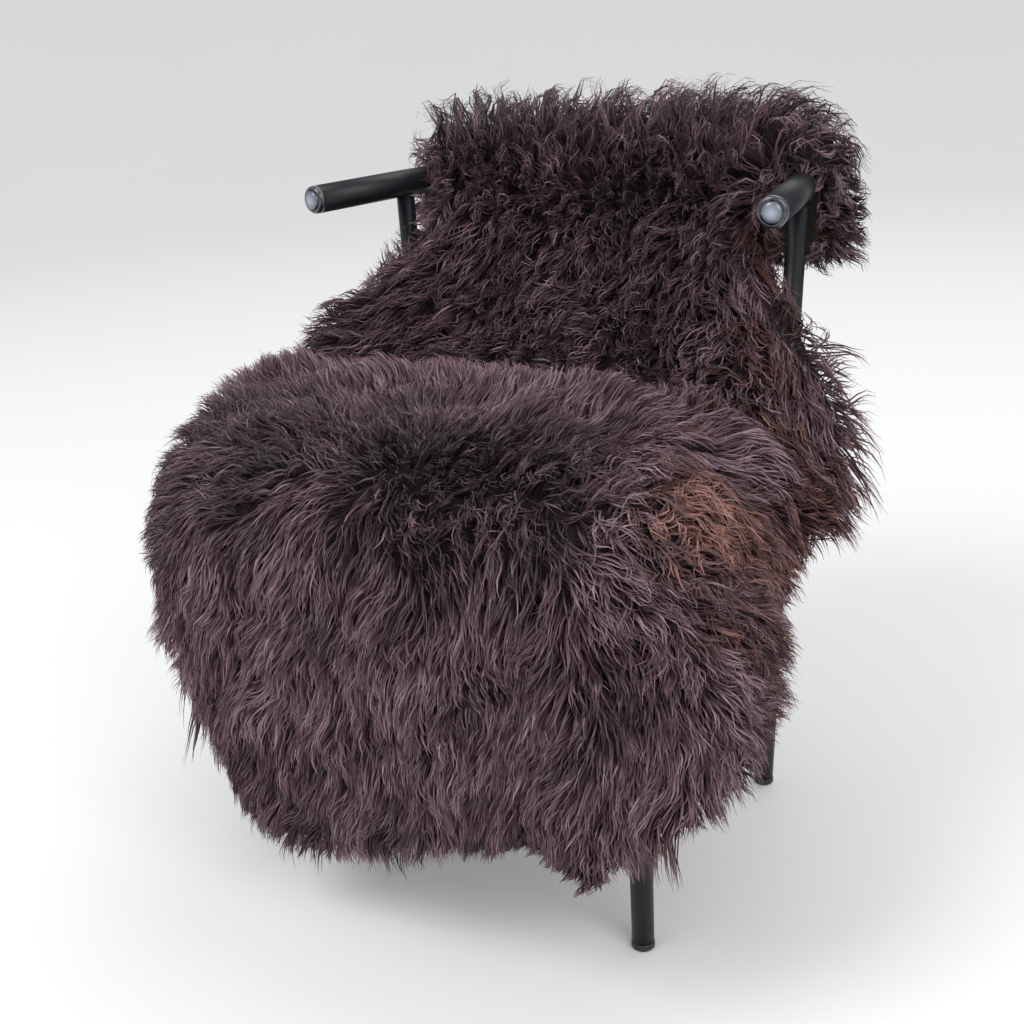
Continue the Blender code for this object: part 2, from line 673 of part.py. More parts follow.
def add_stretchers(metal):
    """The bars under the seat that join the four legs."""
    height = SEAT_TOP - SEAT_THICKNESS - TOUCH_GAP - STRETCHER_DIAMETER / 2
    radius = STRETCHER_DIAMETER / 2
    share = height / RAIL_HEIGHT
    rear = np.array(REAR_FOOT) + (np.array(REAR_POST_TOP) - np.array(REAR_FOOT)) * share
    front = np.array(FRONT_LEG_TOP)
    for side, label in ((-1, "left"), (1, "right")):
        way = (rear - front) / np.linalg.norm(rear - front)
        first = front + way * (FRONT_LEG_TOP_DIAMETER / 2 + TOUCH_GAP)
        last = rear - way * (REAR_LEG_DIAMETER / 2 + TOUCH_GAP)
        run = [(side * x, y, height) for x, y in (first, last)]
        add_bar(f"side_stretcher_{label}", run, [radius] * 2, metal, sides=12)
    for label, (x, y), leg in (("front", front, FRONT_LEG_TOP_DIAMETER), ("rear", rear, REAR_LEG_DIAMETER)):
        end = x - leg / 2 - TOUCH_GAP
        add_bar(f"{label}_stretcher", [(-end, y, height), (end, y, height)], [radius] * 2, metal, sides=12)


def seat_outline(inset):
    """The seat's outline seen from above, drawn in by an inset."""
    corner_x = SEAT_HALF_WIDTH - SEAT_CORNER
    corner_y = SEAT_FRONT + SEAT_CORNER
    radius = SEAT_CORNER - inset
    points = []
    for side, first in ((-1, 180), (1, 270)):
        for step in range(SEAT_CORNER_STEPS + 1):
            turn = math.radians(first + 90 * step / SEAT_CORNER_STEPS)
            points.append((side * corner_x + radius * math.cos(turn), corner_y + radius * math.sin(turn)))
    points.append((SEAT_HALF_WIDTH - inset, SEAT_REAR - inset))
    points.append((inset - SEAT_HALF_WIDTH, SEAT_REAR - inset))
    return points


def add_seat(finish_used):
    """The plain seat panel, its front corners rounded and its upper edge eased."""
    rows = (
        (0.0, SEAT_TOP - SEAT_THICKNESS),
        (0.0, SEAT_TOP - SEAT_EASING),
        (SEAT_EASING * EASING_SHARE, SEAT_TOP - SEAT_EASING * EASING_SHARE),
        (SEAT_EASING, SEAT_TOP),
    )
    rings = [[(x, y, height) for x, y in seat_outline(inset)] for inset, height in rows]
    count = len(rings[0])
    verts = [point for ring in rings for point in ring]
    faces = [tuple(range(count - 1, -1, -1)), tuple(range(len(verts) - count, len(verts)))]
    for row in range(len(rings) - 1):
        for k in range(count):
            a = row * count + k
            b = row * count + (k + 1) % count
            faces.append((a, b, b + count, a + count))
    add_mesh("seat", verts, faces, finish_used)


def set_origin(x, y):
    """Moves every shape so that the given place on the floor becomes the origin."""
    for made in bpy.data.objects:
        made.data.transform(Matrix.Translation((-x, -y, 0.0)))


def main():
    clear_scene()
    hide_finish = finish("tanned hide", (0.34, 0.26, 0.17), 0.85, 0.0)
    wool_finish = finish("dark brown wool", (0.035, 0.018, 0.017), 0.9, 0.0)
    metal = finish("black painted steel", (0.012, 0.013, 0.015), 0.38, 0.0)
    cap_finish = finish("black polished cap", (0.03, 0.034, 0.04), 0.22, 0.0)
    plastic = finish("black plastic", (0.02, 0.02, 0.022), 0.5, 0.0)
    add_rail(metal, cap_finish)
    add_legs(metal, plastic)
    add_stretchers(metal)
    add_seat(metal)
    add_hide(hide_finish)
    add_wool(wool_finish)
    add_locks(wool_finish)
    set_origin(*FRONT_FOOT)


main()
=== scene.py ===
# %% [markdown]
# A long-wool sheepskin over a metal chair
#
# This lesson dresses a draped sheepskin. The skin is a tanned hide with deep wool on one
# side. It hangs over the bowed back rail of a light round-bar chair, comes down inside the
# back, crosses the seat, and falls over the seat's front and side edges.
#
# The chair's seat, stretchers and feet come ready made, so they only need good finishes. Its
# rail, caps and legs get rounder forms. The skin needs new pieces: the hide as a thin sheet,
# a dense bed of underwool, and tens of thousands of fine strands gathered in locks. All of
# them are worked out from one draped surface.

# %% Start
import json
import math

import bpy
import numpy as np
from mathutils import Matrix


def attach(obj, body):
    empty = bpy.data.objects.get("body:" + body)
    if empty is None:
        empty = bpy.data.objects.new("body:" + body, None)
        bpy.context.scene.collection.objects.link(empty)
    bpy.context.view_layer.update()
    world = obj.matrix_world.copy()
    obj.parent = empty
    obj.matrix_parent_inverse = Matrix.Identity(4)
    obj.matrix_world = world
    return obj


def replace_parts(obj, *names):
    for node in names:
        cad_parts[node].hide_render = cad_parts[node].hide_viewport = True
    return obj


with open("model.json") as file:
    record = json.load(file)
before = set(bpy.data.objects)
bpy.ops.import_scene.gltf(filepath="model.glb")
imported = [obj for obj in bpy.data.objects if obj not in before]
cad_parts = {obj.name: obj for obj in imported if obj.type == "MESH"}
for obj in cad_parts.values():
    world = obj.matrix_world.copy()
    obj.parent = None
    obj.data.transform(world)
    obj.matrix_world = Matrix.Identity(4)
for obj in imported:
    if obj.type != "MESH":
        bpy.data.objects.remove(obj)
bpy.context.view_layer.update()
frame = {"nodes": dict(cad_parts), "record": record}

# %% [markdown]
# The solids' origin is the middle of the right front foot. The skin's shapes are easier to
# work out about the middle of the chair, so they are, and each place is moved over at the end.

# %% Middle of the chair
CHAIR_MIDDLE = np.array((-0.2301, 0.1761, 0.0))
print("the chair's middle is at", CHAIR_MIDDLE)

# %% [markdown]
# ## Nodes as sums
#
# A finish is a small calculation, so it reads best as one. The class below wraps a socket,
# and adding or multiplying two wrapped sockets adds the Math node that does it. Colours are
# mixed with a Mix node, because a Math node would turn them grey.


# %% Wrapped sockets
class Value:
    """A socket of a node tree that can be used in sums."""

    def __init__(self, finish, socket):
        self.finish = finish
        self.socket = socket

    def sum_with(self, operation, other):
        """A Math node that works on this socket and another one, or a number."""
        return self.finish.node("ShaderNodeMath", {0: self, 1: other}, operation=operation)

    def __add__(self, other):
        return self.sum_with("ADD", other)

    def __sub__(self, other):
        return self.sum_with("SUBTRACT", other)

    def __mul__(self, other):
        return self.sum_with("MULTIPLY", other)


print("socket sums are ready")

# %% [markdown]
# A finish could be set up node by node in long lists. The class below adds a node, sets it and
# links it in one call, so that each finish is a few lines that name what they do.

# %% Finishes
MAP_NAME = "OFBake"


class Finish:
    """A material under construction. Constants go on the shader, and patterns come from nodes."""

    def __init__(self, name, **constants):
        self.material = bpy.data.materials.new(name)
        self.material.use_nodes = True
        self.tree = self.material.node_tree
        self.shader = self.tree.nodes["Principled BSDF"]
        for socket, constant in constants.items():
            self.shader.inputs[socket.replace("_", " ")].default_value = constant
        print("finish:", name)

    def node(self, kind, inputs=None, output=0, **settings):
        """One node: its settings first, then its sockets' values or links."""
        made = self.tree.nodes.new(kind)
        for setting, value in settings.items():
            setattr(made, setting, value)
        for socket, value in (inputs or {}).items():
            if isinstance(value, Value):
                self.tree.links.new(value.socket, made.inputs[socket])
            else:
                made.inputs[socket].default_value = value
        return Value(self, made.outputs[output])

    def ramp(self, share, stops):
        """A colour picked from a row of colours by a share from 0 to 1."""
        picked = self.node("ShaderNodeValToRGB", {0: share})
        row = picked.socket.node.color_ramp.elements
        while len(row) < len(stops):
            row.new(0.5)
        for element, (place, colour) in zip(row, stops):
            element.position = place
            element.color = (*colour, 1.0)
        return picked

    def mix(self, share, first, second, blend="MIX"):
        """Two colours mixed by a share."""
        first, second = ((*c, 1.0) if isinstance(c, tuple) else c for c in (first, second))
        sockets = {0: share, 6: first, 7: second}
        return self.node("ShaderNodeMix", sockets, 2, data_type="RGBA", blend_type=blend)

    def noise(self, scale, detail):
        """Cloudy noise from 0 to 1 on the piece's own coordinates."""
        place = self.node("ShaderNodeTexCoord", output=3)
        return self.node("ShaderNodeTexNoise", {"Vector": place, "Scale": scale, "Detail": detail})

    def mottle(self, dark, light, scale, detail):
        """A base colour that wanders between two colours. The noise that it follows is given."""
        cloud = self.noise(scale, detail)
        self.feed("Base Color", self.mix(cloud, dark, light))
        return cloud

    def own_map(self, axis):
        """One number of the piece's own map: 0 for the first, 1 for the second."""
        place = self.node("ShaderNodeUVMap", uv_map=MAP_NAME)
        return self.node("ShaderNodeSeparateXYZ", {0: place}, axis)

    def bump(self, height, distance, strength):
        """Feeds a height into the shader's normal."""
        sockets = {"Height": height, "Distance": distance, "Strength": strength}
        self.feed("Normal", self.node("ShaderNodeBump", sockets))

    def feed(self, socket, value):
        """Links a value to one of the shader's sockets."""
        self.tree.links.new(value.socket, self.shader.inputs[socket])


print("finishes can be built")

# %% [markdown]
# ## The skin as a flat map
#
# A flat sheepskin has a place for each point: how far it is along the skin from the hem
# behind the rail, and how far across from the middle line. The table below has one row for
# each section across the skin: how wide it is to each side, how high the wool stands, and
# how each side hangs. Between the rows the values run in smooth curves.

# %% Sections of the skin
COLUMNS = ("along", "left_width", "right_width", "loft", "left_flare", "right_flare", "bend")
SECTIONS = np.array((
    (0.000, 0.246, 0.262, 0.048, 5, 5, 0.040),
    (0.095, 0.256, 0.270, 0.066, 5, 5, 0.040),
    (0.145, 0.256, 0.270, 0.074, 5, 5, 0.040),
    (0.230, 0.248, 0.258, 0.058, 45, 45, 0.040),
    (0.350, 0.324, 0.346, 0.050, 62, 64, 0.040),
    (0.445, 0.345, 0.344, 0.054, 86, 58, 0.040),
    (0.530, 0.338, 0.340, 0.054, 88, 18, 0.032),
    (0.620, 0.322, 0.412, 0.055, 80, 22, 0.032),
    (0.710, 0.288, 0.434, 0.054, 36, 24, 0.034),
    (0.820, 0.284, 0.425, 0.054, 8, 20, 0.034),
    (0.940, 0.290, 0.380, 0.052, 6, 12, 0.034),
    (1.060, 0.270, 0.330, 0.044, 6, 10, 0.034),
))


def cubic(t, start, leave, end, arrive):
    """A cubic curve as t goes from 0 to 1, from start to end, with a slope given at each."""
    return ((1 + 2 * t) * (1 - t) ** 2 * start + t * (1 - t) ** 2 * leave
            + t * t * (3 - 2 * t) * end + t * t * (t - 1) * arrive)


def section(column, along):
    """A column at any distance along: cubic curves that share their slope where they meet."""
    where, value = SECTIONS[:, 0], SECTIONS[:, COLUMNS.index(column)]
    slope = np.gradient(value, where)
    k = np.clip(np.searchsorted(where, along, side="right") - 1, 0, len(where) - 2)
    span = where[k + 1] - where[k]
    t = np.clip((along - where[k]) / span, 0.0, 1.0)
    return cubic(t, value[k], span * slope[k], value[k + 1], span * slope[k + 1])


def by_side(column, place, along):
    """The left side's column where place is less than 0, and the right side's elsewhere."""
    left, right = (section(f"{side}_{column}", along) for side in ("left", "right"))
    return np.where(place < 0.0, left, right)


def smooth_step(t):
    """Rises from 0 to 1 with level ends: three t squared less two t cubed."""
    t = np.clip(t, 0.0, 1.0)
    return t * t * (3.0 - 2.0 * t)


print("widest section", (SECTIONS[:, 1] + SECTIONS[:, 2]).max(), "m")

# %% [markdown]
# ## From the flat map to the draped surface
#
# The skin is carried by two things, so its surface comes in stretches. Outside the rail it
# hangs straight down. Round the rail it follows a circle. Inside the back it is a slack
# curve from the rail to the seat. On the seat it lies level, and past the seat's rounded
# edge it bends down and falls, as a tablecloth does.

# %% Round the rail
RAIL_HEIGHT = 0.6865
RAIL_RADIUS = 0.0153
RAIL_BACK = 0.3135
RAIL_BEND_LENGTH = 0.3047
RAIL_BEND_POWER = 1.689
RAIL_BEND_ANGLE = math.radians(79.27)
HIDE_THICKNESS = 0.0025
WRAP_GAP = 0.0030
WRAP_RADIUS = RAIL_RADIUS + WRAP_GAP + HIDE_THICKNESS / 2
RAIL_SAMPLES = 60


def rail_plan(arc):
    """The rail from above: it turns by a power of the distance, then runs straight.

    It gives the place, as x and y, and the way out of the bend there.
    """
    arc = np.asarray(arc, float)
    bent = np.minimum(np.abs(arc), RAIL_BEND_LENGTH)
    share = (np.arange(RAIL_SAMPLES) + 0.5) / RAIL_SAMPLES
    turned = RAIL_BEND_ANGLE * (bent[..., None] / RAIL_BEND_LENGTH * share) ** RAIL_BEND_POWER
    straight = np.abs(arc) - bent
    angle = RAIL_BEND_ANGLE * (bent / RAIL_BEND_LENGTH) ** RAIL_BEND_POWER
    x = bent * np.cos(turned).mean(-1) + straight * np.cos(angle)
    y = RAIL_BACK - bent * np.sin(turned).mean(-1) - straight * np.sin(angle)
    side = np.where(arc < 0.0, -1.0, 1.0)
    return side * x, y, side * np.sin(angle), np.cos(angle)


def wrap_point(arc, turn):
    """A circle round the rail: outward by its cosine and up by its sine."""
    x, y, nx, ny = rail_plan(arc)
    out = WRAP_RADIUS * np.cos(turn)
    return np.stack([x + nx * out, y + ny * out, RAIL_HEIGHT + WRAP_RADIUS * np.sin(turn)], -1)


def wrap_direction(arc, turn):
    """The tangent of that circle."""
    x, y, nx, ny = rail_plan(arc)
    return np.stack([-nx * np.sin(turn), -ny * np.sin(turn), np.cos(turn)], -1)


print("rail wrap radius", round(WRAP_RADIUS * 1000, 2), "mm")

# %% [markdown]
# The fall over the seat's edges could be simulated as cloth. A worked-out fall is surer and
# gives the same result each time: past the rounded edge each point goes round a quarter
# bend and then straight down, at a slant that the table gives for each side.

# %% Over the seat
SEAT_TOP = 0.4515
SEAT_HALF_WIDTH = 0.2140
SEAT_FRONT = -0.2110
SEAT_CORNER = 0.0500
SEAT_MARGIN = 0.012
SEAT_START = 0.040
REST_GAP = 0.0006
FRONT_BEND = 0.038
FRONT_SPLAY = math.radians(2.0)
CORNER_FLARE = math.radians(10.0)


def cloth_point(across, y, along):
    """Level on the seat. Past its edge: a quarter bend, then a straight splayed fall."""
    corner_x = SEAT_HALF_WIDTH - SEAT_CORNER
    corner_y = SEAT_FRONT + SEAT_CORNER
    held = SEAT_CORNER + SEAT_MARGIN
    side = np.where(across < 0.0, -1.0, 1.0)
    past_x = np.maximum(np.abs(across) - corner_x, 0.0)
    past_y = np.maximum(corner_y - y, 0.0)
    length = np.hypot(past_x, past_y)
    safe = np.maximum(length, 1e-9)
    nx = np.where(length > 0.0, past_x / safe, 1.0)
    ny = past_y / safe
    fall = np.maximum(length - held, 0.0)
    flare = np.radians(by_side("flare", across, along))
    splay = FRONT_SPLAY * ny ** 2 + flare * nx ** 2 + CORNER_FLARE * (2.0 * nx * ny) ** 2
    radius = FRONT_BEND * ny ** 2 + section("bend", along) * nx ** 2
    bend = math.pi / 2 - splay
    angle = np.minimum(fall / radius, bend)
    rest = np.maximum(fall - radius * bend, 0.0)
    reach = radius * np.sin(angle) + rest * np.cos(bend)
    drop = radius * (1.0 - np.cos(angle)) + rest * np.sin(bend)
    plan = np.minimum(length, held) + reach
    x = side * (np.minimum(np.abs(across), corner_x) + nx * plan)
    level = SEAT_TOP + REST_GAP + HIDE_THICKNESS / 2
    return np.stack([x, np.maximum(y, corner_y) - ny * plan, level - drop], -1)


print("the skin lies", round((SEAT_TOP + REST_GAP) * 1000, 1), "mm above the floor on the seat")

# %% [markdown]
# A point of the skin is named by its distance along and by v, which runs from -1 at the left
# cut edge to 1 at the right one. The stretches join where their tangents agree, so that no
# ridge shows. A pull says how long the back's curve keeps the direction of that end.

# %% The whole drape
END_OUTSIDE = 0.095
END_ROUND = END_OUTSIDE + 0.050
END_BACK = END_ROUND + 0.310
END_SEAT = END_BACK + SEAT_START - SEAT_FRONT + SEAT_MARGIN
END_FALL = END_SEAT + 0.350
HELD_SHARE = 0.5
HELD_WIDTH = SEAT_HALF_WIDTH + SEAT_MARGIN
WRAP_ANGLES = (math.radians(150.0), math.radians(168.0))
BACK_PULLS = (0.26, 0.02)
CREASE_PULLS = (0.30, 0.05)
TOWARD_FRONT = np.array((0.0, -1.0, 0.0))


def across_at(v, along):
    """Distance across at v: to the seat's width at half of v, then on to the cut edge at 1."""
    inner = np.minimum(np.abs(v), HELD_SHARE) / HELD_SHARE
    outer = np.maximum(np.abs(v) - HELD_SHARE, 0.0) / (1.0 - HELD_SHARE)
    past_seat = by_side("width", v, along) - HELD_WIDTH
    return np.sign(v) * (inner * HELD_WIDTH + outer * past_seat)


def v_at(across, along):
    """The other way round: v from a distance across."""
    past_seat = by_side("width", across, along) - HELD_WIDTH
    inner = np.minimum(np.abs(across), HELD_WIDTH) / HELD_WIDTH * HELD_SHARE
    outer = np.maximum(np.abs(across) - HELD_WIDTH, 0.0) / past_seat * (1.0 - HELD_SHARE)
    return np.sign(across) * (inner + outer)


def drape(v, along):
    """The stretches in turn. The back is a cubic curve from the rail's tangent to the seat's."""
    across = across_at(v, along)
    at_side = np.clip(np.abs(across) / SEAT_HALF_WIDTH, 0.0, 1.0) ** 3
    leave, back_pull, crease_pull = (
        middle + (side - middle) * at_side
        for middle, side in (WRAP_ANGLES, BACK_PULLS, CREASE_PULLS))
    outside = wrap_point(across, np.zeros_like(v))
    outside[..., 2] -= np.maximum(END_OUTSIDE - along, 0.0)
    share = np.clip((along - END_OUTSIDE) / (END_ROUND - END_OUTSIDE), 0.0, 1.0)
    turned = wrap_point(across, share * leave)
    t = np.clip((along - END_ROUND) / (END_BACK - END_ROUND), 0.0, 1.0)[..., None]
    top_across = across_at(v, np.full_like(v, END_ROUND))
    low_across = across_at(v, np.full_like(v, END_BACK))
    low = cloth_point(low_across, np.full_like(v, SEAT_START), np.full_like(v, END_BACK))
    back = cubic(t, wrap_point(top_across, leave),
                 back_pull[..., None] * wrap_direction(top_across, leave),
                 low, crease_pull[..., None] * TOWARD_FRONT)
    back[..., 0] += across - top_across - (low_across - top_across) * smooth_step(t[..., 0])
    laid = cloth_point(across, SEAT_START - np.maximum(along - END_BACK, 0.0), along)
    place = np.where((along < END_OUTSIDE)[..., None], outside, turned)
    place = np.where((along > END_ROUND)[..., None], back, place)
    return np.where((along > END_BACK)[..., None], laid, place)


print("length along the middle of the skin", round(END_FALL, 3), "m")

# %% [markdown]
# The two hems are cut round, and the front one hangs lower on one side. They could be cut
# into a square sheet afterwards. Here the sheet's lines are bent to them instead, so that
# the cut edge is one clean row of points.

# %% Hems
HEM_CORNER_AT = 0.30
HEM_POWER = 3.0
BACK_CORNER = 0.045
FRONT_CORNERS = (0.28, 0.036)
HEM_SKEW = 0.34
HEM_SKEW_REACH = 0.17
EDGE_FADE = 0.035


def hem_along(across, front):
    """Where a hem lies along the skin: drawn in by a cube of the distance across, plus a slant."""
    rounded = (np.abs(across) / HEM_CORNER_AT) ** HEM_POWER
    skew = HEM_SKEW * HEM_SKEW_REACH * np.tanh(across / HEM_SKEW_REACH)
    corner = np.where(across < 0.0, FRONT_CORNERS[0], FRONT_CORNERS[1])
    return END_FALL - corner * rounded - skew if front else BACK_CORNER * rounded


def place_along(line, v):
    """Distance along of a grid line at v, with both hems' shapes faded in."""
    across = across_at(v, line)
    near_back = 1.0 - smooth_step(line / END_OUTSIDE)
    near_front = np.clip((line - END_SEAT) / (END_FALL - END_SEAT), 0.0, 1.0)
    back_shift = hem_along(across, False) * near_back
    return line + back_shift + (hem_along(across, True) - END_FALL) * near_front


def inside_edge(across, along):
    """How far a place of the flat map is inside the cut edge, and less than 0 outside it."""
    to_hems = np.minimum(hem_along(across, True) - along, along - hem_along(across, False))
    return np.minimum(by_side("width", across, along) - np.abs(across), to_hems)


def fullness(across, along):
    """0 at the cut edge and 1 from 35 mm inside it, in a smooth step."""
    return smooth_step(inside_edge(across, along) / EDGE_FADE)


print("front hem, left to right", hem_along(np.linspace(-0.25, 0.3, 5), True).round(3))

# %% [markdown]
# ## A shell to comb the wool in
#
# Every strand starts in the hide and ends at the wool's surface. So two grids are made over
# the flat map: the hide's face, and the wool's top above it, smoothed so that it doesn't
# cross itself in the crease. A strand is then a path over the flat map with a height from 0
# at the hide to 1 at the top, and it follows every bend by itself.

# %% Shell grids
GRID_STEP = 0.005
ACROSS_SPAN = (-0.430, 0.520)
ALONG_SPAN = (-0.080, 1.180)
FOOT = HIDE_THICKNESS / 2 + 0.0004
COMB_PASSES = 58
NORMAL_PASSES = 2
RAIL_CREST = (0.120, 0.060)
# Each lump: length and start of its wave along, length and start of the one across, height.
LUMPS = (
    (0.118, 0.4, 0.134, 0.7, 0.0036),
    (0.091, 2.1, 0.147, 3.6, 0.0034),
    (0.169, 4.4, 0.113, 7.5, 0.0034),
    (0.104, 1.3, 0.098, 2.2, 0.0030),
)


def unit(vectors):
    """Vectors at length 1."""
    return vectors / np.maximum(np.linalg.norm(vectors, axis=-1, keepdims=True), 1e-12)


def smoothed(grid, passes):
    """A quarter, a half and a quarter of three neighbours, each way, many times over."""
    for _ in range(passes):
        for axis in (0, 1):
            padded = np.concatenate([grid.take([0], axis), grid, grid.take([-1], axis)], axis)
            count = grid.shape[axis]
            before, after = (padded.take(range(k, k + count), axis) for k in (0, 2))
            grid = grid * 0.5 + (before + after) * 0.25
    return grid


def lumps(across, along):
    """Soft lumps: a few products of one wave along and one across."""
    total = 0.0
    for length, start, breadth, shift, height in LUMPS:
        wave = height * np.sin(2 * math.pi * along / length + start)
        total = total + wave * np.cos(2 * math.pi * across / breadth + shift)
    return total


def hill(value, middle, width):
    """1 at the middle and less to both sides, as a bell: e to minus a square."""
    return np.exp(-((value - middle) / width) ** 2)


along_axis = np.arange(ALONG_SPAN[0], ALONG_SPAN[1], GRID_STEP)
across_axis = np.arange(ACROSS_SPAN[0], ACROSS_SPAN[1], GRID_STEP)
along_grid, across_grid = np.meshgrid(along_axis, across_axis, indexing="ij")
middle_layer = drape(v_at(across_grid, along_grid), along_grid)
along_way, across_way = (np.gradient(middle_layer, axis=axis) for axis in (0, 1))
face_normals = unit(smoothed(unit(np.cross(along_way, across_way)), NORMAL_PASSES))
base_grid = middle_layer + face_normals * FOOT
loft_grid = section("loft", along_grid)
top_grid = smoothed(base_grid + face_normals * loft_grid[..., None], COMB_PASSES)
top_grid = top_grid + face_normals * lumps(across_grid, along_grid)[..., None]
lost_height = np.maximum(loft_grid - np.linalg.norm(top_grid - base_grid, axis=-1), 0.0)
near_rail = hill(along_grid, *RAIL_CREST)
top_grid = top_grid + face_normals * (lost_height * near_rail)[..., None]
print("shell grid", base_grid.shape[:2], "mean wool height",
      round(float(np.linalg.norm(top_grid - base_grid, axis=-1).mean()) * 1000, 1), "mm")

# %% [markdown]
# Strands start and end anywhere, not only at the grids' points, and some tips go past the cut
# edge. So the grids are read between their points. Past the edge the shell goes straight on,
# because there the table's curves would run wild.

# %% Reading the shell
def sample(grid, across, along):
    """A grid's value at any place of the flat map: straight lines between four neighbours."""
    row = np.clip((along - ALONG_SPAN[0]) / GRID_STEP, 0, grid.shape[0] - 1.001)
    column = np.clip((across - ACROSS_SPAN[0]) / GRID_STEP, 0, grid.shape[1] - 1.001)
    i, j = row.astype(int), column.astype(int)
    down, over = (row - i), (column - j)
    if grid.ndim == 3:
        down, over = down[..., None], over[..., None]
    near = grid[i, j] * (1 - over) + grid[i, j + 1] * over
    far = grid[i + 1, j] * (1 - over) + grid[i + 1, j + 1] * over
    return near * (1 - down) + far * down


def shell(across, along, height):
    """A point of the shell: the hide's face, and a share of the way up to the wool's top."""
    low, high = (sample(grid, across, along) for grid in (base_grid, top_grid))
    return low + (high - low) * height[..., None]


def straight_on(across, along, height):
    """A point of the shell and its way up. Past the cut edge the shell goes straight on."""
    held_across = np.clip(across, -section("left_width", along), section("right_width", along))
    held_along = np.clip(along, hem_along(held_across, False), hem_along(held_across, True))
    held = shell(held_across, held_along, height)
    place = held
    steps = ((across - held_across, GRID_STEP, 0), (along - held_along, 0, GRID_STEP))
    for past, step_across, step_along in steps:
        side = np.sign(past)
        inner = shell(held_across - side * step_across, held_along - side * step_along, height)
        place = place + unit(held - inner) * np.abs(past)[..., None]
    return place, unit(sample(top_grid - base_grid, held_across, held_along))


on_seat = shell(np.array([0.0]), np.array([0.55]), np.array([1.0]))
print("middle of the seat at full height", on_seat.round(3))

# %% [markdown]
# ## Putting a mesh in the scene
#
# Points and faces are whole arrays, and `foreach_set` hands them over in one go. The map
# that the finish reads is a UV layer: one number for the strand's tone and one for how far
# along the strand a point is.


# %% Mesh helper
def one_row(values, kind=np.float32):
    """An array as one row of numbers, as foreach_set takes it."""
    return np.ascontiguousarray(values, kind).ravel()


def add_piece(name, points, faces, finish, tone=None):
    """A mesh piece from arrays. tone is one UV pair for each point."""
    mesh = bpy.data.meshes.new(name)
    sides = faces.shape[1]
    mesh.vertices.add(len(points))
    mesh.vertices.foreach_set("co", one_row(points + CHAIR_MIDDLE))
    mesh.loops.add(faces.size)
    mesh.loops.foreach_set("vertex_index", one_row(faces, np.int32))
    mesh.polygons.add(len(faces))
    mesh.polygons.foreach_set("loop_start", np.arange(0, faces.size, sides, dtype=np.int32))
    mesh.update(calc_edges=True)
    mesh.shade_smooth()
    if tone is not None:
        layer = mesh.uv_layers.new(name=MAP_NAME)
        layer.uv.foreach_set("vector", one_row(tone[faces.ravel()]))
    mesh.materials.append(finish.material)
    piece = bpy.data.objects.new(name, mesh)
    bpy.context.scene.collection.objects.link(piece)
    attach(piece, "root")
    print(name, len(points), "points,", len(faces) * (sides - 2), "triangles")
    return piece


def grid_quads(rows, columns, start=0, turned=False):
    """The four-sided faces of a grid of points."""
    k = (np.arange(rows - 1)[:, None] * columns + np.arange(columns - 1)[None, :]).ravel() + start
    quads = np.stack([k, k + 1, k + columns + 1, k + columns], -1)
    return quads[:, ::-1] if turned else quads


def rim_of(rows, columns):
    """A grid's edge points, once round."""
    grid = np.arange(rows * columns).reshape(rows, columns)
    return np.concatenate([grid[0, :-1], grid[:-1, -1], grid[-1, :0:-1], grid[:0:-1, 0]])


def band_quads(lower, upper):
    """Faces between two closed rings, facing away from the grid's middle."""
    return np.stack([upper, np.roll(upper, -1), np.roll(lower, -1), lower], -1)


def closed_faces(rows, columns, swell=False):
    """Faces of two grids of points, the lower one first, joined by a band round their rims.

    With swell, the band goes over one more ring of points, which comes after both grids.
    """
    count = rows * columns
    rim = rim_of(rows, columns)
    rings = [rim, np.arange(len(rim)) + 2 * count, rim + count] if swell else [rim, rim + count]
    bands = [band_quads(lower, upper) for lower, upper in zip(rings, rings[1:])]
    top = grid_quads(rows, columns, count, turned=True)
    return np.concatenate([grid_quads(rows, columns), top, *bands])


def flat_grid(rows, columns):
    """A grid over the skin, inside its cut edge: v, distance across, distance along."""
    line, v = np.meshgrid(
        np.linspace(0.0, END_FALL, rows), np.linspace(-1.0, 1.0, columns), indexing="ij")
    along = place_along(line, v)
    return v, across_at(v, along), along


print("mesh helpers are ready")

# %% [markdown]
# ## The tanned hide
#
# Under the wool is the hide, 2.5 mm of suede. Its dark brown is painted shade, for where it shows
# in shadow at the back. It shows where the skin wraps the rail, round the hems, and from
# below. It could be a solidified plane; two offset grids with a
# joined rim give the same sheet and keep the rim's shape in hand.

# %% Hide finish
hide_finish = Finish("suede darkened as painted shade", Roughness=0.88, Specular_IOR_Level=0.25)
# The dark browns are painted shade; the blotches and the nap are the suede's own.
blotches = hide_finish.mottle((0.026, 0.016, 0.012), (0.062, 0.040, 0.029), 14.0, 4.0)
nap = hide_finish.noise(420.0, 2.0)
hide_finish.bump(nap * 0.7 + blotches * 0.3, 0.0009, 0.6)

# %% Hide sheet
HIDE_ROWS = 108
HIDE_COLUMNS = 64
hide_v, hide_across, hide_along = flat_grid(HIDE_ROWS, HIDE_COLUMNS)
hide_middle = drape(hide_v, hide_along)
half_way = unit(sample(face_normals, hide_across, hide_along)) * HIDE_THICKNESS / 2
hide_points = np.concatenate([hide_middle - half_way, hide_middle + half_way]).reshape(-1, 3)
hide_faces = closed_faces(HIDE_ROWS, HIDE_COLUMNS)
hide = add_piece("tanned_hide", hide_points, hide_faces, hide_finish)
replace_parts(hide, "hide")
cell = np.cross(np.gradient(hide_middle, axis=0), np.gradient(hide_middle, axis=1))
print("hide area", round(float(np.linalg.norm(cell, axis=-1).sum()), 3), "square metres")

# %% [markdown]
# ## The bed of underwool
#
# Below the long locks sheepskin has a dense, dark underwool. A closed form fills the lower
# part of the shell, so that no gap between locks shows the hide. Its lumps are real, and a
# fine noise in its finish stands for the matted fibres.

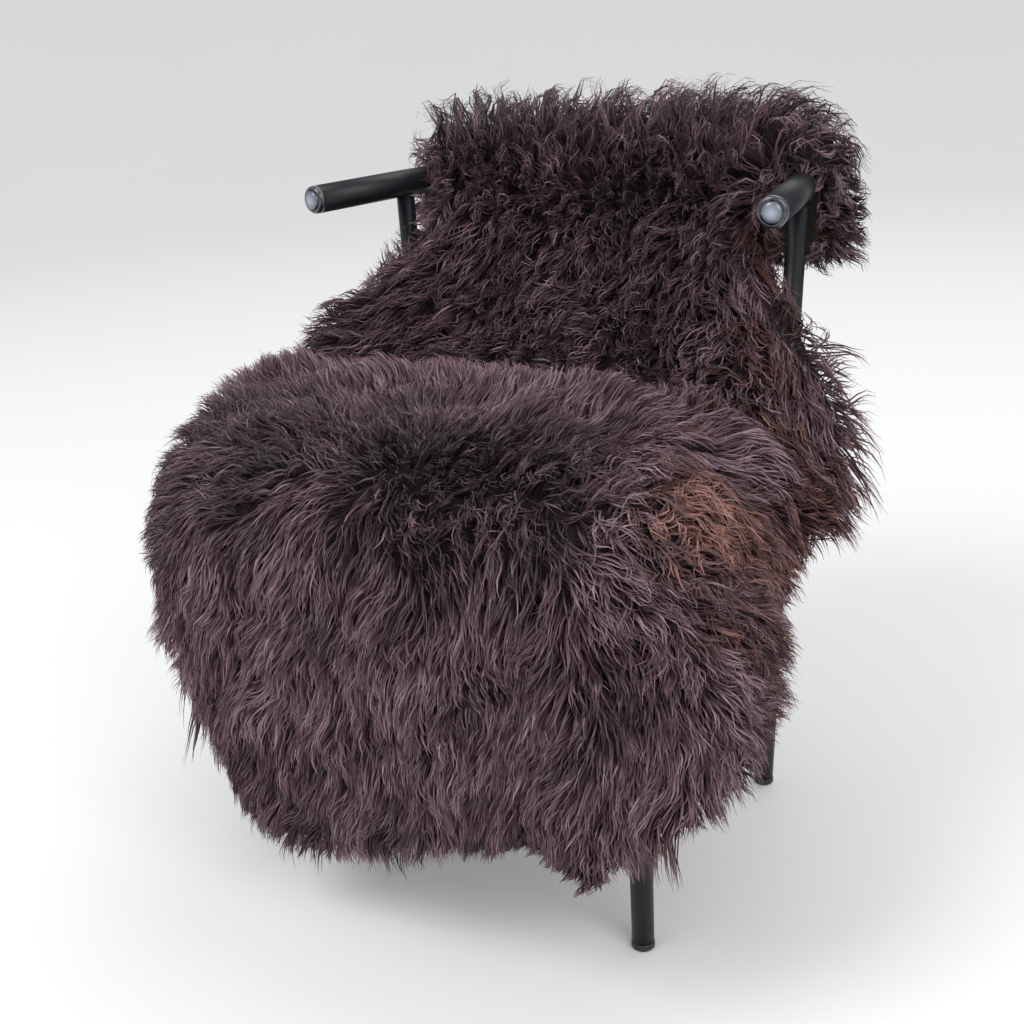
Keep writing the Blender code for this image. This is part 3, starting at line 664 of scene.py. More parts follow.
# %% Underwool finish
bed_finish = Finish("matted underwool", Roughness=0.95, Specular_IOR_Level=0.15)
matted = bed_finish.mottle((0.006, 0.004, 0.004), (0.022, 0.013, 0.013), 60.0, 6.0)
fibres = bed_finish.noise(330.0, 4.0)
bed_finish.bump(fibres * 0.6 + matted * 0.4, 0.004, 1.0)

# %% Underwool form
BED_ROWS = 130
BED_COLUMNS = 84
BED_FOOT = 0.004
BED_HEIGHT = 0.52
BED_RIM = 0.001
EDGE_SHARE = 0.10
RUFFLE_HEIGHT = 0.05
RUFFLE_BEND = 3.0
RUFFLE_RATES = (190.0, 71.0, 163.0)


def thinned(across, along, at_edge):
    """1 well inside the cut edge, and a given share at it."""
    return at_edge + (1.0 - at_edge) * fullness(across, along)


_, bed_across, bed_along = flat_grid(BED_ROWS, BED_COLUMNS)
across_rate, bend_rate, along_rate = RUFFLE_RATES
bent = RUFFLE_BEND * np.sin(bed_along * bend_rate)
ruffle = RUFFLE_HEIGHT * np.sin(bed_across * across_rate + bent) * np.sin(bed_along * along_rate)
bed_height = (BED_HEIGHT + ruffle) * thinned(bed_across, bed_along, EDGE_SHARE)
bed_low, bed_high = (
    shell(bed_across, bed_along, height).reshape(-1, 3)
    for height in (np.full_like(bed_across, BED_FOOT), bed_height))
rim = rim_of(BED_ROWS, BED_COLUMNS)
edge, edge_rise = bed_low[rim], bed_high[rim] - bed_low[rim]
edge_way = np.roll(edge, -1, axis=0) - np.roll(edge, 1, axis=0)
edge_out = unit(np.cross(unit(edge_rise), edge_way))
bed_points = np.concatenate([bed_low, bed_high, edge + edge_rise * 0.5 + edge_out * BED_RIM])
bed_faces = closed_faces(BED_ROWS, BED_COLUMNS, swell=True)
bed = add_piece("underwool", bed_points, bed_faces, bed_finish)
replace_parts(bed, "wool")

# %% [markdown]
# ## Which way the wool lies
#
# Wool has a flow. On this skin it parts near the front of the seat: from there it runs back
# toward the crease, out to both sides, and down the front. Inside the back it hangs, and
# round the rail it stands up. The flow is a direction for each place of the flat map, and a
# few long waves turn it here and there, as real wool is never combed evenly.

# %% Flow of the wool
PARTING_ALONG = 0.690
PARTING_WANDER = 0.018
PARTING_WAVE = 0.16
PARTING_SPREAD = 1.25
PARTING_SOFTNESS = 0.012
BACK_SOFTNESS = 0.10
RAIL_WAY = (0.6, -0.75)
BACK_WAY = (0.9, 0.55)
FALL_WAY = (1.1, 0.60)
EDGE_PULL = 0.7
EDGE_FROM = (0.55, 1.0)
BACK_FROM = (0.100, 0.270)
SEAT_FROM = (0.400, 0.440)
FALL_FROM = (0.700, 0.840)
SWIRLS = ((0.42, 0.110), (0.22, 0.045))
wave_source = np.random.default_rng(5)


def waves(across, along, length, source, count=7):
    """A smooth random field from about -1 to 1: a sum of waves that run every way."""
    heading = source.uniform(0.0, 2 * math.pi, count)
    stretch = source.uniform(0.7, 1.5, count) * 2 * math.pi / length
    start = source.uniform(0.0, 2 * math.pi, count)
    total = 0.0
    for turn, rate, phase in zip(heading, stretch, start):
        total = total + np.sin(rate * (across * math.cos(turn) + along * math.sin(turn)) + phase)
    return total / math.sqrt(count)


def between(value, first, last):
    """0 before first and 1 after last, in a smooth step."""
    return smooth_step((value - first) / (last - first))


def fanning(spread, down):
    """A flow along the skin that also fans out from the middle line."""
    return np.stack([across_grid * spread, np.full_like(across_grid, down)], -1)


def evened(flow, softness):
    """A flow brought to length 1, but less where it is hardly longer than the softness."""
    return flow / (np.linalg.norm(flow, axis=-1, keepdims=True) + softness)


def turned_by(way, angle):
    """Directions on the flat map, each turned by its angle."""
    cos, sin = np.cos(angle), np.sin(angle)
    return np.stack([way[..., 0] * cos - way[..., 1] * sin,
                     way[..., 0] * sin + way[..., 1] * cos], -1)


wander = waves(across_grid, along_grid * 0.0, PARTING_WAVE, wave_source)
from_parting = along_grid - PARTING_ALONG - PARTING_WANDER * wander
radial = evened(np.stack([across_grid * PARTING_SPREAD, from_parting], -1), PARTING_SOFTNESS)
down_back = fanning(*BACK_WAY)
toward_edge = np.sign(across_grid) * between(np.abs(v_at(across_grid, along_grid)), *EDGE_FROM)
down_back[..., 0] += EDGE_PULL * toward_edge
is_back, is_seat, is_fall = (
    between(along_grid, *place)[..., None] for place in (BACK_FROM, SEAT_FROM, FALL_FROM))
flow = fanning(*RAIL_WAY) * (1 - is_back) + down_back * is_back
flow = evened(flow, BACK_SOFTNESS) * (1 - is_seat) + radial * is_seat
flow = flow * (1 - is_fall) + unit(fanning(*FALL_WAY)) * is_fall
swirl = sum(turn * waves(across_grid, along_grid, size, wave_source) for turn, size in SWIRLS)
flow_grid = turned_by(flow, swirl)
at_fall = sample(flow_grid, np.array([0.0]), np.array([0.9]))
print("flow at the middle of the front fall", at_fall.round(2))

# %% [markdown]
# ## Locks and strands
#
# A lock is a bunch of strands that start apart and meet near their tips. So each lock gets
# a root on the flat map, a length, a turn and a tone; its strands take those and vary them
# a little. Each strand walks along the flow in short steps while it climbs from the
# underwool to the top of the shell. Then it is bent in waves, and made a thin ribbon whose
# width is turned at random. The roots come from an even sequence, not from dice, so that
# there are no bald patches.

# %% Lock roots
LOCKS = 8300
STRANDS = 8
STEPS = 7
EVEN_STEPS = (0.7548776662466927, 0.5698402909980532)
ROOT_LINES = 400
RING_ROWS = 260
RING_COLUMNS = 160
RING_REACH = 0.01


def even_sequence(count):
    """Points that fill the unit square evenly: multiples of two irrational steps."""
    k = np.arange(1, count + 1)
    return (k * step % 1.0 for step in EVEN_STEPS)


def spread_roots(count):
    """Even points over the skin's own area, as distances across and along."""
    first, second = even_sequence(count)
    lines = np.linspace(0.0, END_FALL, ROOT_LINES)
    width = section("left_width", lines) + section("right_width", lines)
    area = np.concatenate([[0.0], np.cumsum((width[1:] + width[:-1]) / 2)])
    root_line = np.interp(first * area[-1], area, lines)
    left, right = section("left_width", root_line), section("right_width", root_line)
    root_v = v_at(-left + second * (left + right), root_line)
    root_along = place_along(root_line, root_v)
    return across_at(root_v, root_along), root_along


def rim_roots(count):
    """Even points round the cut edge, and the way out from it on the flat map."""
    _, across, along = flat_grid(RING_ROWS, RING_COLUMNS)
    ring = np.stack([across, along], -1).reshape(-1, 2)[rim_of(RING_ROWS, RING_COLUMNS)]
    closed = np.concatenate([ring, ring[:1]])
    steps = np.linalg.norm(closed[1:] - closed[:-1], axis=-1)
    walked = np.concatenate([[0.0], np.cumsum(steps)])

    def at(distance):
        """The place at a distance round the edge."""
        distance = distance % walked[-1]
        return np.stack([np.interp(distance, walked, closed[:, k]) for k in (0, 1)], -1)

    stops = (np.arange(count) + 0.5) / count * walked[-1]
    way = unit(at(stops + RING_REACH) - at(stops - RING_REACH))
    return at(stops), np.stack([way[:, 1], -way[:, 0]], -1)


lock_across, lock_along = spread_roots(LOCKS)
print(LOCKS, "locks of", STRANDS, "strands")

# %% [markdown]
# ## What each lock is like
#
# Colour and curl lie in soft regions. They could be painted as a picture. Sums of soft spots
# and soft borders over the flat map need none, and each lock reads them at its root.

# %% Colour of each lock
TONE_BASE = 0.22
# A region: its share, its shape, and the shape's two numbers along and, maybe, across.
# Four rows are painted light: the shade of a small parting, a highlight on the fall's left, and
# shade near the hem and on the fall's right.
TONE_AND_PAINTED_LIGHT_REGIONS = (
    (-0.19, hill, (0.680, 0.050), (0.05, 0.17)),  # dark curls round the parting
    (-0.19, hill, (0.812, 0.012), (-0.02, 0.035)),  # painted shade of a small parting high on the fall
    (0.07, hill, (0.770, 0.050), (-0.030, 0.070)),  # a painted highlight beside it, on the fall's left
    (0.13, between, (0.72, 0.86)),  # the pale fall
    (-0.08, between, (0.91, 1.00)),  # painted shade near the hem, where the fall curves under
    (-0.05, between, (0.72, 0.80), (0.10, 0.22)),  # painted shade on the right of the fall
)
# A painted sheen: the fur along the crease is lightened where it catches the light.
PAINTED_SHEEN_BAND = ((0.27, hill, (0.480, 0.060)),)
TAN_PATCH = ((0.38, hill, (0.635, 0.055), (0.240, 0.050)),)
RIGHT_SIDE = ((1.0, between, (0.20, 0.32), (0.14, 0.27)),)
RIGHT_ENDS = (0.80, 0.68)
RED_EDGE, RED_EDGE_SHARE = (0.84, 1.0), 0.9
REDDISH_TONE, REDDISH_HIDES = 0.58, 0.6
DRIFTS = ((0.07, 0.12), (0.04, 0.05))


def regions(across, along, base, rows):
    """A base, and the shares of regions added to it."""
    for share, shape, along_pair, *across_pair in rows:
        part = share * shape(along, *along_pair)
        base = base + (part * shape(across, *across_pair[0]) if across_pair else part)
    return base


def tone_at(across, along):
    """The wool's colour number: 0 darkest brown, 0.4 mauve, 0.5 pale mauve, 0.7 reddish, 1 tan.

    It is palest in the band behind the parting, where a painted sheen lightens it, and on the
    fall, which has a painted highlight on its left and painted shade on its right, near the hem
    and in a small parting. It is reddish on the right side and at the edges, and tan in a patch on
    the right of the seat.
    """
    source = np.random.default_rng(31)
    right_side = regions(across, along, 0.0, RIGHT_SIDE) * between(along, *RIGHT_ENDS)
    edge = between(np.abs(v_at(across, along)), *RED_EDGE)
    reddish = np.maximum(right_side, RED_EDGE_SHARE * edge)
    tone = regions(across, along, TONE_BASE, TONE_AND_PAINTED_LIGHT_REGIONS)
    # The painted sheen band is added, except on the right side.
    tone = tone + regions(across, along, 0.0, PAINTED_SHEEN_BAND) * (1.0 - right_side)
    tone = tone * (1.0 - REDDISH_HIDES * reddish) + REDDISH_TONE * reddish
    drift = sum(size * waves(across, along, length, source) for size, length in DRIFTS)
    return regions(across, along, tone, TAN_PATCH) + drift


print("tone from the rail to the hem", tone_at(np.zeros(5), np.linspace(0.1, 1.0, 5)).round(2))

# %% Curl and lay of each lock
CURL_BASE = 0.30
CURLY_RAIL = (0.130, 0.070)
CURL_REGIONS = (
    (0.55, hill, (0.680, 0.060)),  # round the parting
    (0.60, hill, (0.640, 0.060), (0.240, 0.070)),  # in the tan patch
    (0.45, between, (0.44, 0.36)),  # on the back
    (0.80, hill, CURLY_RAIL),
)
LAY_BASE = 0.042
LAY_REGIONS = ((-0.014, hill, (0.125, 0.060)), (-0.010, hill, (0.69, 0.05)))


def curl_at(across, along):
    """How curly the wool is: most round the parting and on the back, least on the fall."""
    return regions(across, along, CURL_BASE, CURL_REGIONS)


def lay_at(along):
    """How far a strand runs along the skin: less on the rail and round the parting."""
    return regions(None, along, LAY_BASE, LAY_REGIONS)


print("curl on the back and on the fall", curl_at(np.zeros(2), np.array([0.25, 0.95])).round(2))

# %% [markdown]
# Real wool ends a little past the skin's edge. Strands that only followed the flow would hang
# out too far there, so each lay is cut back to what its place may reach.

# %% Reach past the cut edge
REACH, REACH_CORNER, REACH_WAIST = 0.019, -0.022, 0.036
CORNER_ACROSS = (0.05, 0.22)
CORNER_TO_HEM = (-0.060, -0.005)
WAIST = (0.300, 0.120)
LEFT_WAIST_SHARE = 0.3
SHORTEST_LAY = 0.009


def past_edge(across, along):
    """How far a place of the flat map is outside the cut edge."""
    return np.maximum(-inside_edge(across, along), 0.0)


def front_corner(across, along):
    """1 at the right end of the front hem, and 0 away from it."""
    to_hem = along - hem_along(across, True)
    return between(across, *CORNER_ACROSS) * between(to_hem, *CORNER_TO_HEM)


def reach_at(across, along):
    """How far tips may pass the cut edge: least at that corner, most at the right of the back."""
    waist = hill(along, *WAIST) * np.where(across > 0.0, 1.0, LEFT_WAIST_SHARE)
    return REACH + REACH_CORNER * front_corner(across, along) + REACH_WAIST * waist


def trimmed(across, along, lay):
    """The lay, cut back where a straight run along the flow would go too far past the edge."""
    way = sample(flow_grid, across, along)
    tip_past = past_edge(across + way[:, 0] * lay, along + way[:, 1] * lay)
    return np.maximum(lay - np.maximum(tip_past - reach_at(across, along), 0.0), SHORTEST_LAY)


print("reach at the middle of the back", reach_at(np.zeros(1), np.array([0.3])).round(3), "m")

# %% Strand paths
LOCK_SPREAD = 0.0068
TURN_SPREAD = 0.10
LAY_RANGE = (0.72, 1.08)
MEETING, MEETING_POWER = 0.88, 1.2
START_RANGE = (-0.06, 0.06)
END_SPREAD = 0.035
CLIMB_EASE = 1.7
SAG = 5.0
CURL_RANGE = (0.6, 1.4)
CYCLES, CURL_CYCLES = (0.7, 1.4), 0.25
PHASE_SPREAD = 0.35
WAVE_SIZE, WAVE_POWER, WAVE_LIFT = 0.0046, 0.8, 0.8


def per_strand(values):
    """A value of each lock, once for each of its strands."""
    return np.repeat(values, STRANDS, axis=0)


def walk(root, turn, length, heading):
    """Paths over the flat map: equal steps along the flow, or along a heading, turned."""
    path = [root]
    for _ in range(STEPS - 1):
        way = sample(flow_grid, *path[-1].T) if heading is None else heading
        path.append(path[-1] + turned_by(way, turn) * (length / (STEPS - 1))[:, None])
    return np.stack(path, 1)


def strand_paths(root, turn, lay, low, high, source, heading=None, ease=CLIMB_EASE):
    """Every strand of every lock as points in space.

    A strand's height eases from low to high. It starts off its lock's root by an offset
    that shrinks toward the tip, and it is bent by two waves at right angles to its run.
    """
    locks = len(root)
    total = locks * STRANDS
    t = np.linspace(0.0, 1.0, STEPS)[None, :]
    radius = LOCK_SPREAD * np.sqrt(source.random(total))
    spoke = source.uniform(0.0, 2 * math.pi, total)
    offset = np.stack([radius * np.cos(spoke), radius * np.sin(spoke)], -1)
    own_turn = per_strand(turn) + source.normal(0.0, TURN_SPREAD, total)
    own_lay = per_strand(lay) * source.uniform(*LAY_RANGE, total)
    heading = None if heading is None else per_strand(heading)
    flat = walk(per_strand(root) + offset, own_turn, own_lay, heading)
    flat = flat - offset[:, None, :] * (MEETING * t ** MEETING_POWER)[..., None]
    start = (per_strand(low) + source.uniform(*START_RANGE, total))[:, None]
    end = (per_strand(high) + source.normal(0.0, END_SPREAD, total))[:, None]
    rise = 1.0 - (1.0 - t) ** ease
    place, up = straight_on(flat[..., 0], flat[..., 1], start + (end - start) * rise)
    place[..., 2] -= SAG * past_edge(flat[..., 0], flat[..., 1]) ** 2
    run = unit(np.gradient(place, axis=1))
    side = unit(np.cross(run, up))
    lift = np.cross(side, run)
    curl = per_strand(curl_at(*root.T) * source.uniform(*CURL_RANGE, locks))[:, None]
    cycles = per_strand(source.uniform(*CYCLES, locks))[:, None] + CURL_CYCLES * curl
    phase = per_strand(source.uniform(0.0, 2 * math.pi, locks))
    phase = (phase + source.normal(0.0, PHASE_SPREAD, total))[:, None]
    angle = 2 * math.pi * cycles * t + phase
    wave = WAVE_SIZE * curl * t ** WAVE_POWER
    place = place + side * (wave * np.sin(angle))[..., None]
    place = place + lift * (WAVE_LIFT * wave * np.cos(angle))[..., None]
    return place, side, lift


print("strand helpers are ready")

# %% [markdown]
# A strand could be a curve with a round bevel, but each would take ten times the faces. A thin
# ribbon looks the same at this size, as long as its flat side is turned at random.

# %% Ribbons
WIDTH_AT_ROOT = 0.55
WIDTH_SWELL = 1.15
TILT_SPREAD = 0.75
TWIST_SPREAD = 0.9
TONE_LIMITS = (0.01, 0.99)
TONE_SIDES = (-0.004, 0.004)


def ribbons(place, side, lift, width, source):
    """Two points for each point of each path, half a width to either side of it.

    The width swells a little past the root and narrows to the tip, and its direction is
    turned about the strand by a random angle that changes along it.
    """
    total, steps = place.shape[:2]
    t = np.linspace(0.0, 1.0, steps)[None, :]
    tilt = source.normal(0.0, TILT_SPREAD, total)[:, None]
    tilt = tilt + source.normal(0.0, TWIST_SPREAD, total)[:, None] * t
    across_way = side * np.cos(tilt)[..., None] + lift * np.sin(tilt)[..., None]
    swell = np.sin(math.pi * np.minimum(t * WIDTH_SWELL, 1.0)) - t ** 3
    half = (width[:, None] * (WIDTH_AT_ROOT + (1.0 - WIDTH_AT_ROOT) * swell))[..., None]
    edges = np.stack([place - across_way * half, place + across_way * half], 2)
    k = (np.arange(total)[:, None] * steps + np.arange(steps - 1)[None, :]).ravel() * 2
    return edges.reshape(-1, 3), np.stack([k, k + 1, k + 3, k + 2], -1)


def tone_map(tone):
    """The UV of each ribbon point: the strand's tone across, and root to tip along."""
    u = np.clip(tone, *TONE_LIMITS)[:, None, None] + np.array(TONE_SIDES)
    u = np.broadcast_to(u, (len(tone), STEPS, 2))
    t = np.broadcast_to(np.linspace(0.0, 1.0, STEPS)[None, :, None], u.shape)
    return np.stack([u, t], -1).reshape(-1, 2)


print("a strand has", (STEPS - 1) * 2, "triangles")

# %% [markdown]
# ## The wool's finish
#
# Each fibre is dark brown at the root and lighter toward the tip, where sun and wear have
# faded it. The strand's tone picks its colour from a row of browns, from near black through
# mauve to a reddish tan. Wool is a little glossy along its fibres, and a low sheen stands for
# the fine fibres that catch the light.

# %% Wool finish
wool_finish = Finish(
    "dark brown wool", Roughness=0.40, Specular_IOR_Level=0.44,
    Specular_Tint=(0.95, 0.84, 0.92, 1.0), Sheen_Weight=0.10, Sheen_Roughness=0.45,
    Sheen_Tint=(0.80, 0.72, 0.80, 1.0))
browns = wool_finish.ramp(wool_finish.own_map(0), (
    (0.00, (0.012, 0.006, 0.006)),
    (0.18, (0.048, 0.022, 0.025)),
    (0.36, (0.145, 0.083, 0.099)),
    # The pale mauve near 0.50 is what the painted sheen band reaches.
    (0.50, (0.300, 0.198, 0.238)),
    (0.59, (0.070, 0.033, 0.034)),
    (0.74, (0.098, 0.044, 0.041)),
    (0.88, (0.270, 0.128, 0.104)),
    (1.00, (0.390, 0.200, 0.152)),
))
faded = wool_finish.ramp(wool_finish.own_map(1), (
    (0.00, (0.08, 0.07, 0.07)),
    (0.40, (0.42, 0.39, 0.39)),
    (0.75, (0.86, 0.84, 0.86)),
    (1.00, (1.00, 1.00, 1.00)),
))
wool_finish.feed("Base Color", wool_finish.mix(1.0, browns, faded, "MULTIPLY"))

# %% [markdown]
# ## Growing the wool
#
# The locks are sorted from the hem behind the rail to the front hem and grown in bands, so
# that no mesh gets too heavy. A last set grows round the cut edge, lower down, and covers
# the side of the underwool.

# %% Growing a set of locks
STRAND_WIDTH = 0.00090
WIDTH_RANGE = (0.65, 1.35)


def grow(name, root, turn, lay, low, high, source, lock_tone, strand_tone, **rim):
    """One mesh of locks, from the root, turn and lay of each and its heights at root and tip.

    The last two numbers say how far the tone of a lock, and of a strand, strays.
    """
    place, side, lift = strand_paths(root, turn, lay, low, high, source, **rim)
    width = STRAND_WIDTH * source.uniform(*WIDTH_RANGE, len(place))
    points, faces = ribbons(place, side, lift, width, source)
    tone = per_strand(tone_at(*root.T) + source.normal(0.0, lock_tone, len(root)))
    if strand_tone:
        tone = tone + source.normal(0.0, strand_tone, len(tone))
    return add_piece(name, points, faces, wool_finish, tone_map(tone))


print("strands are", STRAND_WIDTH * 1000, "mm wide")

# %% Locks over the skin
BANDS = 5
TURN_BASE, TURN_BY_CURL, MOST_CURL = 0.16, 0.55, 1.1
LOCK_LAY_RANGE = (0.75, 1.25)
LOW_RANGE = (0.30, 0.50)
HIGH, HIGH_CREASE, HIGH_AT_EDGE = 0.93, 0.28, 0.80
CREASE = (0.500, 0.035)
RUFFLED, RUFFLED_RAIL = 0.045, 0.080
LOCK_TONE, STRAND_TONE = 0.060, 0.075
grow_source = np.random.default_rng(41)
for band, chosen in enumerate(np.array_split(np.argsort(lock_along), BANDS)):
    across, along = lock_across[chosen], lock_along[chosen]
    locks = len(chosen)
    curl = np.minimum(curl_at(across, along), MOST_CURL)
    turn = grow_source.normal(0.0, TURN_BASE + TURN_BY_CURL * curl ** 2)
    lay = trimmed(across, along, lay_at(along) * grow_source.uniform(*LOCK_LAY_RANGE, locks))
    low = grow_source.uniform(*LOW_RANGE, locks) * thinned(across, along, EDGE_SHARE)
    ruffled = RUFFLED + RUFFLED_RAIL * hill(along, *CURLY_RAIL)
    high = HIGH + grow_source.normal(0.0, ruffled) + HIGH_CREASE * hill(along, *CREASE)
    high = high * thinned(across, along, HIGH_AT_EDGE)
    piece = grow(f"wool_locks_{band + 1}", np.stack([across, along], -1), turn, lay, low, high,
                 grow_source, LOCK_TONE, STRAND_TONE)
    if band == 0:
        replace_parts(piece, *[node for node in frame["nodes"] if node.startswith("edge_locks")])

# %% Locks round the cut edge
RIM_LOCKS = 1000
RIM_EASE = 1.1
RIM_INSET = (-0.001, 0.004)
RIM_TURN = 0.35
RIM_EXTRA, RIM_EXTRA_CORNER = 0.006, 0.007
RIM_LAY_RANGE = (0.7, 1.20)
RIM_LOW_RANGE = (0.00, 0.30)
RIM_RISE_RANGE, RIM_RISE_WAIST = (-0.35, 0.50), -0.55
RIM_WAIST = (0.290, 0.110)
RIM_TONE = 0.07
rim_place, rim_out = rim_roots(RIM_LOCKS)
rim_source = np.random.default_rng(43)
root = rim_place - rim_out * rim_source.uniform(*RIM_INSET, RIM_LOCKS)[:, None]
turn = rim_source.normal(0.0, RIM_TURN, RIM_LOCKS)
lay = reach_at(*root.T) + RIM_EXTRA + RIM_EXTRA_CORNER * front_corner(*root.T)
lay = lay * rim_source.uniform(*RIM_LAY_RANGE, RIM_LOCKS)
low = rim_source.uniform(*RIM_LOW_RANGE, RIM_LOCKS)
rise = rim_source.uniform(*RIM_RISE_RANGE, RIM_LOCKS)
rise = rise + RIM_RISE_WAIST * hill(root[:, 1], *RIM_WAIST)
grow("wool_locks_rim", root, turn, lay, low, low + rise, rim_source, RIM_TONE, 0.0,
     heading=rim_out, ease=RIM_EASE)

# %% [markdown]
# ## The chair
#
# The bars are steel tube under a satin black paint. The paint is nearly even, with a faint
# orange-peel in its surface. The rail, the legs and the caps show from near, so they get
# rounder forms than the ready-made ones: rings of points round a line. The feet are plain
# black plastic with scuffs near the floor.

# %% Chair finishes
paint = Finish("satin black paint", Specular_IOR_Level=0.30)
peel = paint.noise(260.0, 2.0)
clouding = paint.mottle((0.0045, 0.0050, 0.0065), (0.010, 0.011, 0.014), 22.0, 3.0)
paint.feed("Roughness", clouding * 0.14 + 0.30)
paint.bump(peel, 0.0004, 0.25)

# The caps' colour is a painted highlight: pale blue-grey at the middle of each dome, dark at its
# rim. The noise wobbles its edge and the roughness.
cap_finish = Finish("cap with painted highlight", Specular_IOR_Level=0.6, Coat_Roughness=0.06, Coat_Weight=0.6)
cap_noise = cap_finish.noise(90.0, 3.0)
painted_highlight = cap_finish.ramp(cap_finish.own_map(0) + cap_noise * 0.10 - 0.05, (
    (0.00, (0.330, 0.380, 0.440)),
    (0.40, (0.160, 0.190, 0.230)),
    (0.72, (0.022, 0.026, 0.034)),
    (1.00, (0.012, 0.014, 0.018)),
))
cap_finish.feed("Base Color", painted_highlight)
cap_finish.feed("Roughness", cap_noise * 0.14 + 0.18)

scuffed = Finish("black plastic foot", Specular_IOR_Level=0.35)
scuffs = scuffed.mottle((0.008, 0.009, 0.010), (0.040, 0.042, 0.046), 180.0, 4.0)
scuffed.feed("Roughness", scuffs * 0.30 + 0.35)

FINISHES = {"frame": paint, "caps": cap_finish, "glides": scuffed}
for entry in frame["record"]["subparts"]:
    if entry["material_slot"] in FINISHES:
        for slot in frame["nodes"][entry["node"]].material_slots:
            slot.material = FINISHES[entry["material_slot"]].material
print("chair finishes are on")

# %% [markdown]
# A round bar could be a bevelled curve or a cylinder primitive. Rings of points round a line
# of centres make a bent rail, a tapered leg and a domed cap with one function, and their
# sides are too many to show as facets in the light.

# %% Round bars
BAR_SIDES = 40
POINT_RADIUS = 1e-5
STEEP = 0.8


def ring_quads(rings, sides):
    """Faces of a tube: each ring of points is joined to the next."""
    index = np.arange(rings * sides).reshape(rings, sides)
    after = np.roll(index, -1, axis=1)
    return np.stack([index[:-1], index[1:], after[1:], after[:-1]], -1).reshape(-1, 4)


def add_round(name, node, centres, radii, finish):
    """Rings round a line of centres, with a point at each end. It takes the node's place."""
    centres = np.array([centres[0], *centres, centres[-1]], float)
    radii = np.array([POINT_RADIUS, *radii, POINT_RADIUS])
    ahead = unit(np.gradient(centres, axis=0))
    start = (0.0, 0.0, 1.0) if abs(ahead[1, 2]) < STEEP else (1.0, 0.0, 0.0)
    side = unit(np.cross(ahead, start))
    over = np.cross(side, ahead)
    turn = np.linspace(0.0, 2 * math.pi, BAR_SIDES, endpoint=False)[None, :, None]
    out = side[:, None] * np.cos(turn) + over[:, None] * np.sin(turn)
    points = (centres[:, None] + radii[:, None, None] * out).reshape(-1, 3)
    # The map's first number is each ring's radius as a share of the largest. The caps' finish
    # paints its highlight from it.
    share = np.clip(np.repeat(radii / radii.max(), BAR_SIDES), *TONE_LIMITS)
    tone = np.stack([share, np.full_like(share, 0.5)], -1)
    faces = ring_quads(len(centres), BAR_SIDES)
    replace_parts(add_piece(name, points, faces, finish, tone), node)


def rail_centre(arc):
    """The middle of the rail at a distance along it from the rear."""
    x, y, _, _ = rail_plan(np.array(arc))
    return np.array((float(x), float(y), RAIL_HEIGHT))


print("bars have", BAR_SIDES, "sides")

# %% Rail and legs
RAIL_ARM_LENGTH = 0.135
RAIL_RINGS = 61
TOUCH_GAP = 0.0003
LEG_START = 0.0086
REAR_FOOT = (0.2228, 0.1599, 0.0)
REAR_POST_TOP = (0.2438, 0.1776, RAIL_HEIGHT)
REAR_LEG_DIAMETER = 0.0210
REAR_LEG_HEIGHTS = (LEG_START, RAIL_HEIGHT - RAIL_RADIUS - TOUCH_GAP)
FRONT_FOOT = (0.2301, -0.1761)
FRONT_LEG_DIAMETERS = (0.0224, 0.0260)
FRONT_LEG_HEIGHTS = (LEG_START, 0.4392)
arm_end = RAIL_BEND_LENGTH + RAIL_ARM_LENGTH
arcs = [-arm_end, *np.linspace(-RAIL_BEND_LENGTH, RAIL_BEND_LENGTH, RAIL_RINGS), arm_end]
add_round("rail_bar", "back_rail", [rail_centre(arc) for arc in arcs],
          [RAIL_RADIUS] * len(arcs), paint)
for side, label in ((-1, "left"), (1, "right")):
    foot, top = (np.array((side * x, y, z)) for x, y, z in (REAR_FOOT, REAR_POST_TOP))
    add_round(f"rear_post_{label}", f"rear_leg_{label}",
              [foot + (top - foot) * z / RAIL_HEIGHT for z in REAR_LEG_HEIGHTS],
              [REAR_LEG_DIAMETER / 2] * 2, paint)
    add_round(f"front_post_{label}", f"front_leg_{label}",
              [(side * FRONT_FOOT[0], FRONT_FOOT[1], z) for z in FRONT_LEG_HEIGHTS],
              [diameter / 2 for diameter in FRONT_LEG_DIAMETERS], paint)

# %% Domed caps
CAP_COLLAR = 0.0027
CAP_ROUNDING = 0.0040
CAP_GROOVE_DEPTH = 0.0005
CAP_GROOVE_WIDTH = 0.0006
CAP_CROWN = 0.0034
shoulder = RAIL_RADIUS - CAP_ROUNDING
cap_top = CAP_COLLAR + CAP_ROUNDING
quarter = np.linspace(0.0, math.pi / 2, 9)
profile = [(RAIL_RADIUS, 0.0), (RAIL_RADIUS, CAP_COLLAR)]
profile += [(shoulder + CAP_ROUNDING * math.cos(t), CAP_COLLAR + CAP_ROUNDING * math.sin(t))
            for t in quarter]
profile += [(shoulder - CAP_GROOVE_WIDTH, cap_top - CAP_GROOVE_DEPTH)]
profile += [((shoulder - 2 * CAP_GROOVE_WIDTH) * math.cos(t), cap_top + CAP_CROWN * math.sin(t))
            for t in quarter[:-1]]
for side, label in ((-1, "left"), (1, "right")):
    end = rail_centre(side * arm_end)
    axis = unit(end - rail_centre(side * RAIL_BEND_LENGTH))
    add_round(f"cap_{label}", f"rail_cap_{label}",
              [end + axis * (TOUCH_GAP + z) for _, z in profile],
              [r for r, _ in profile], cap_finish)

# %% [markdown]
# ## Studio
#
# The pale floor rises in a wide curve all round, far off, so that no edge of it shows. A large
# soft light hangs high on the left, a weaker one fills from the right, and a pale world
# lifts the shadows. The lights stand well back, so the floor is lit evenly.

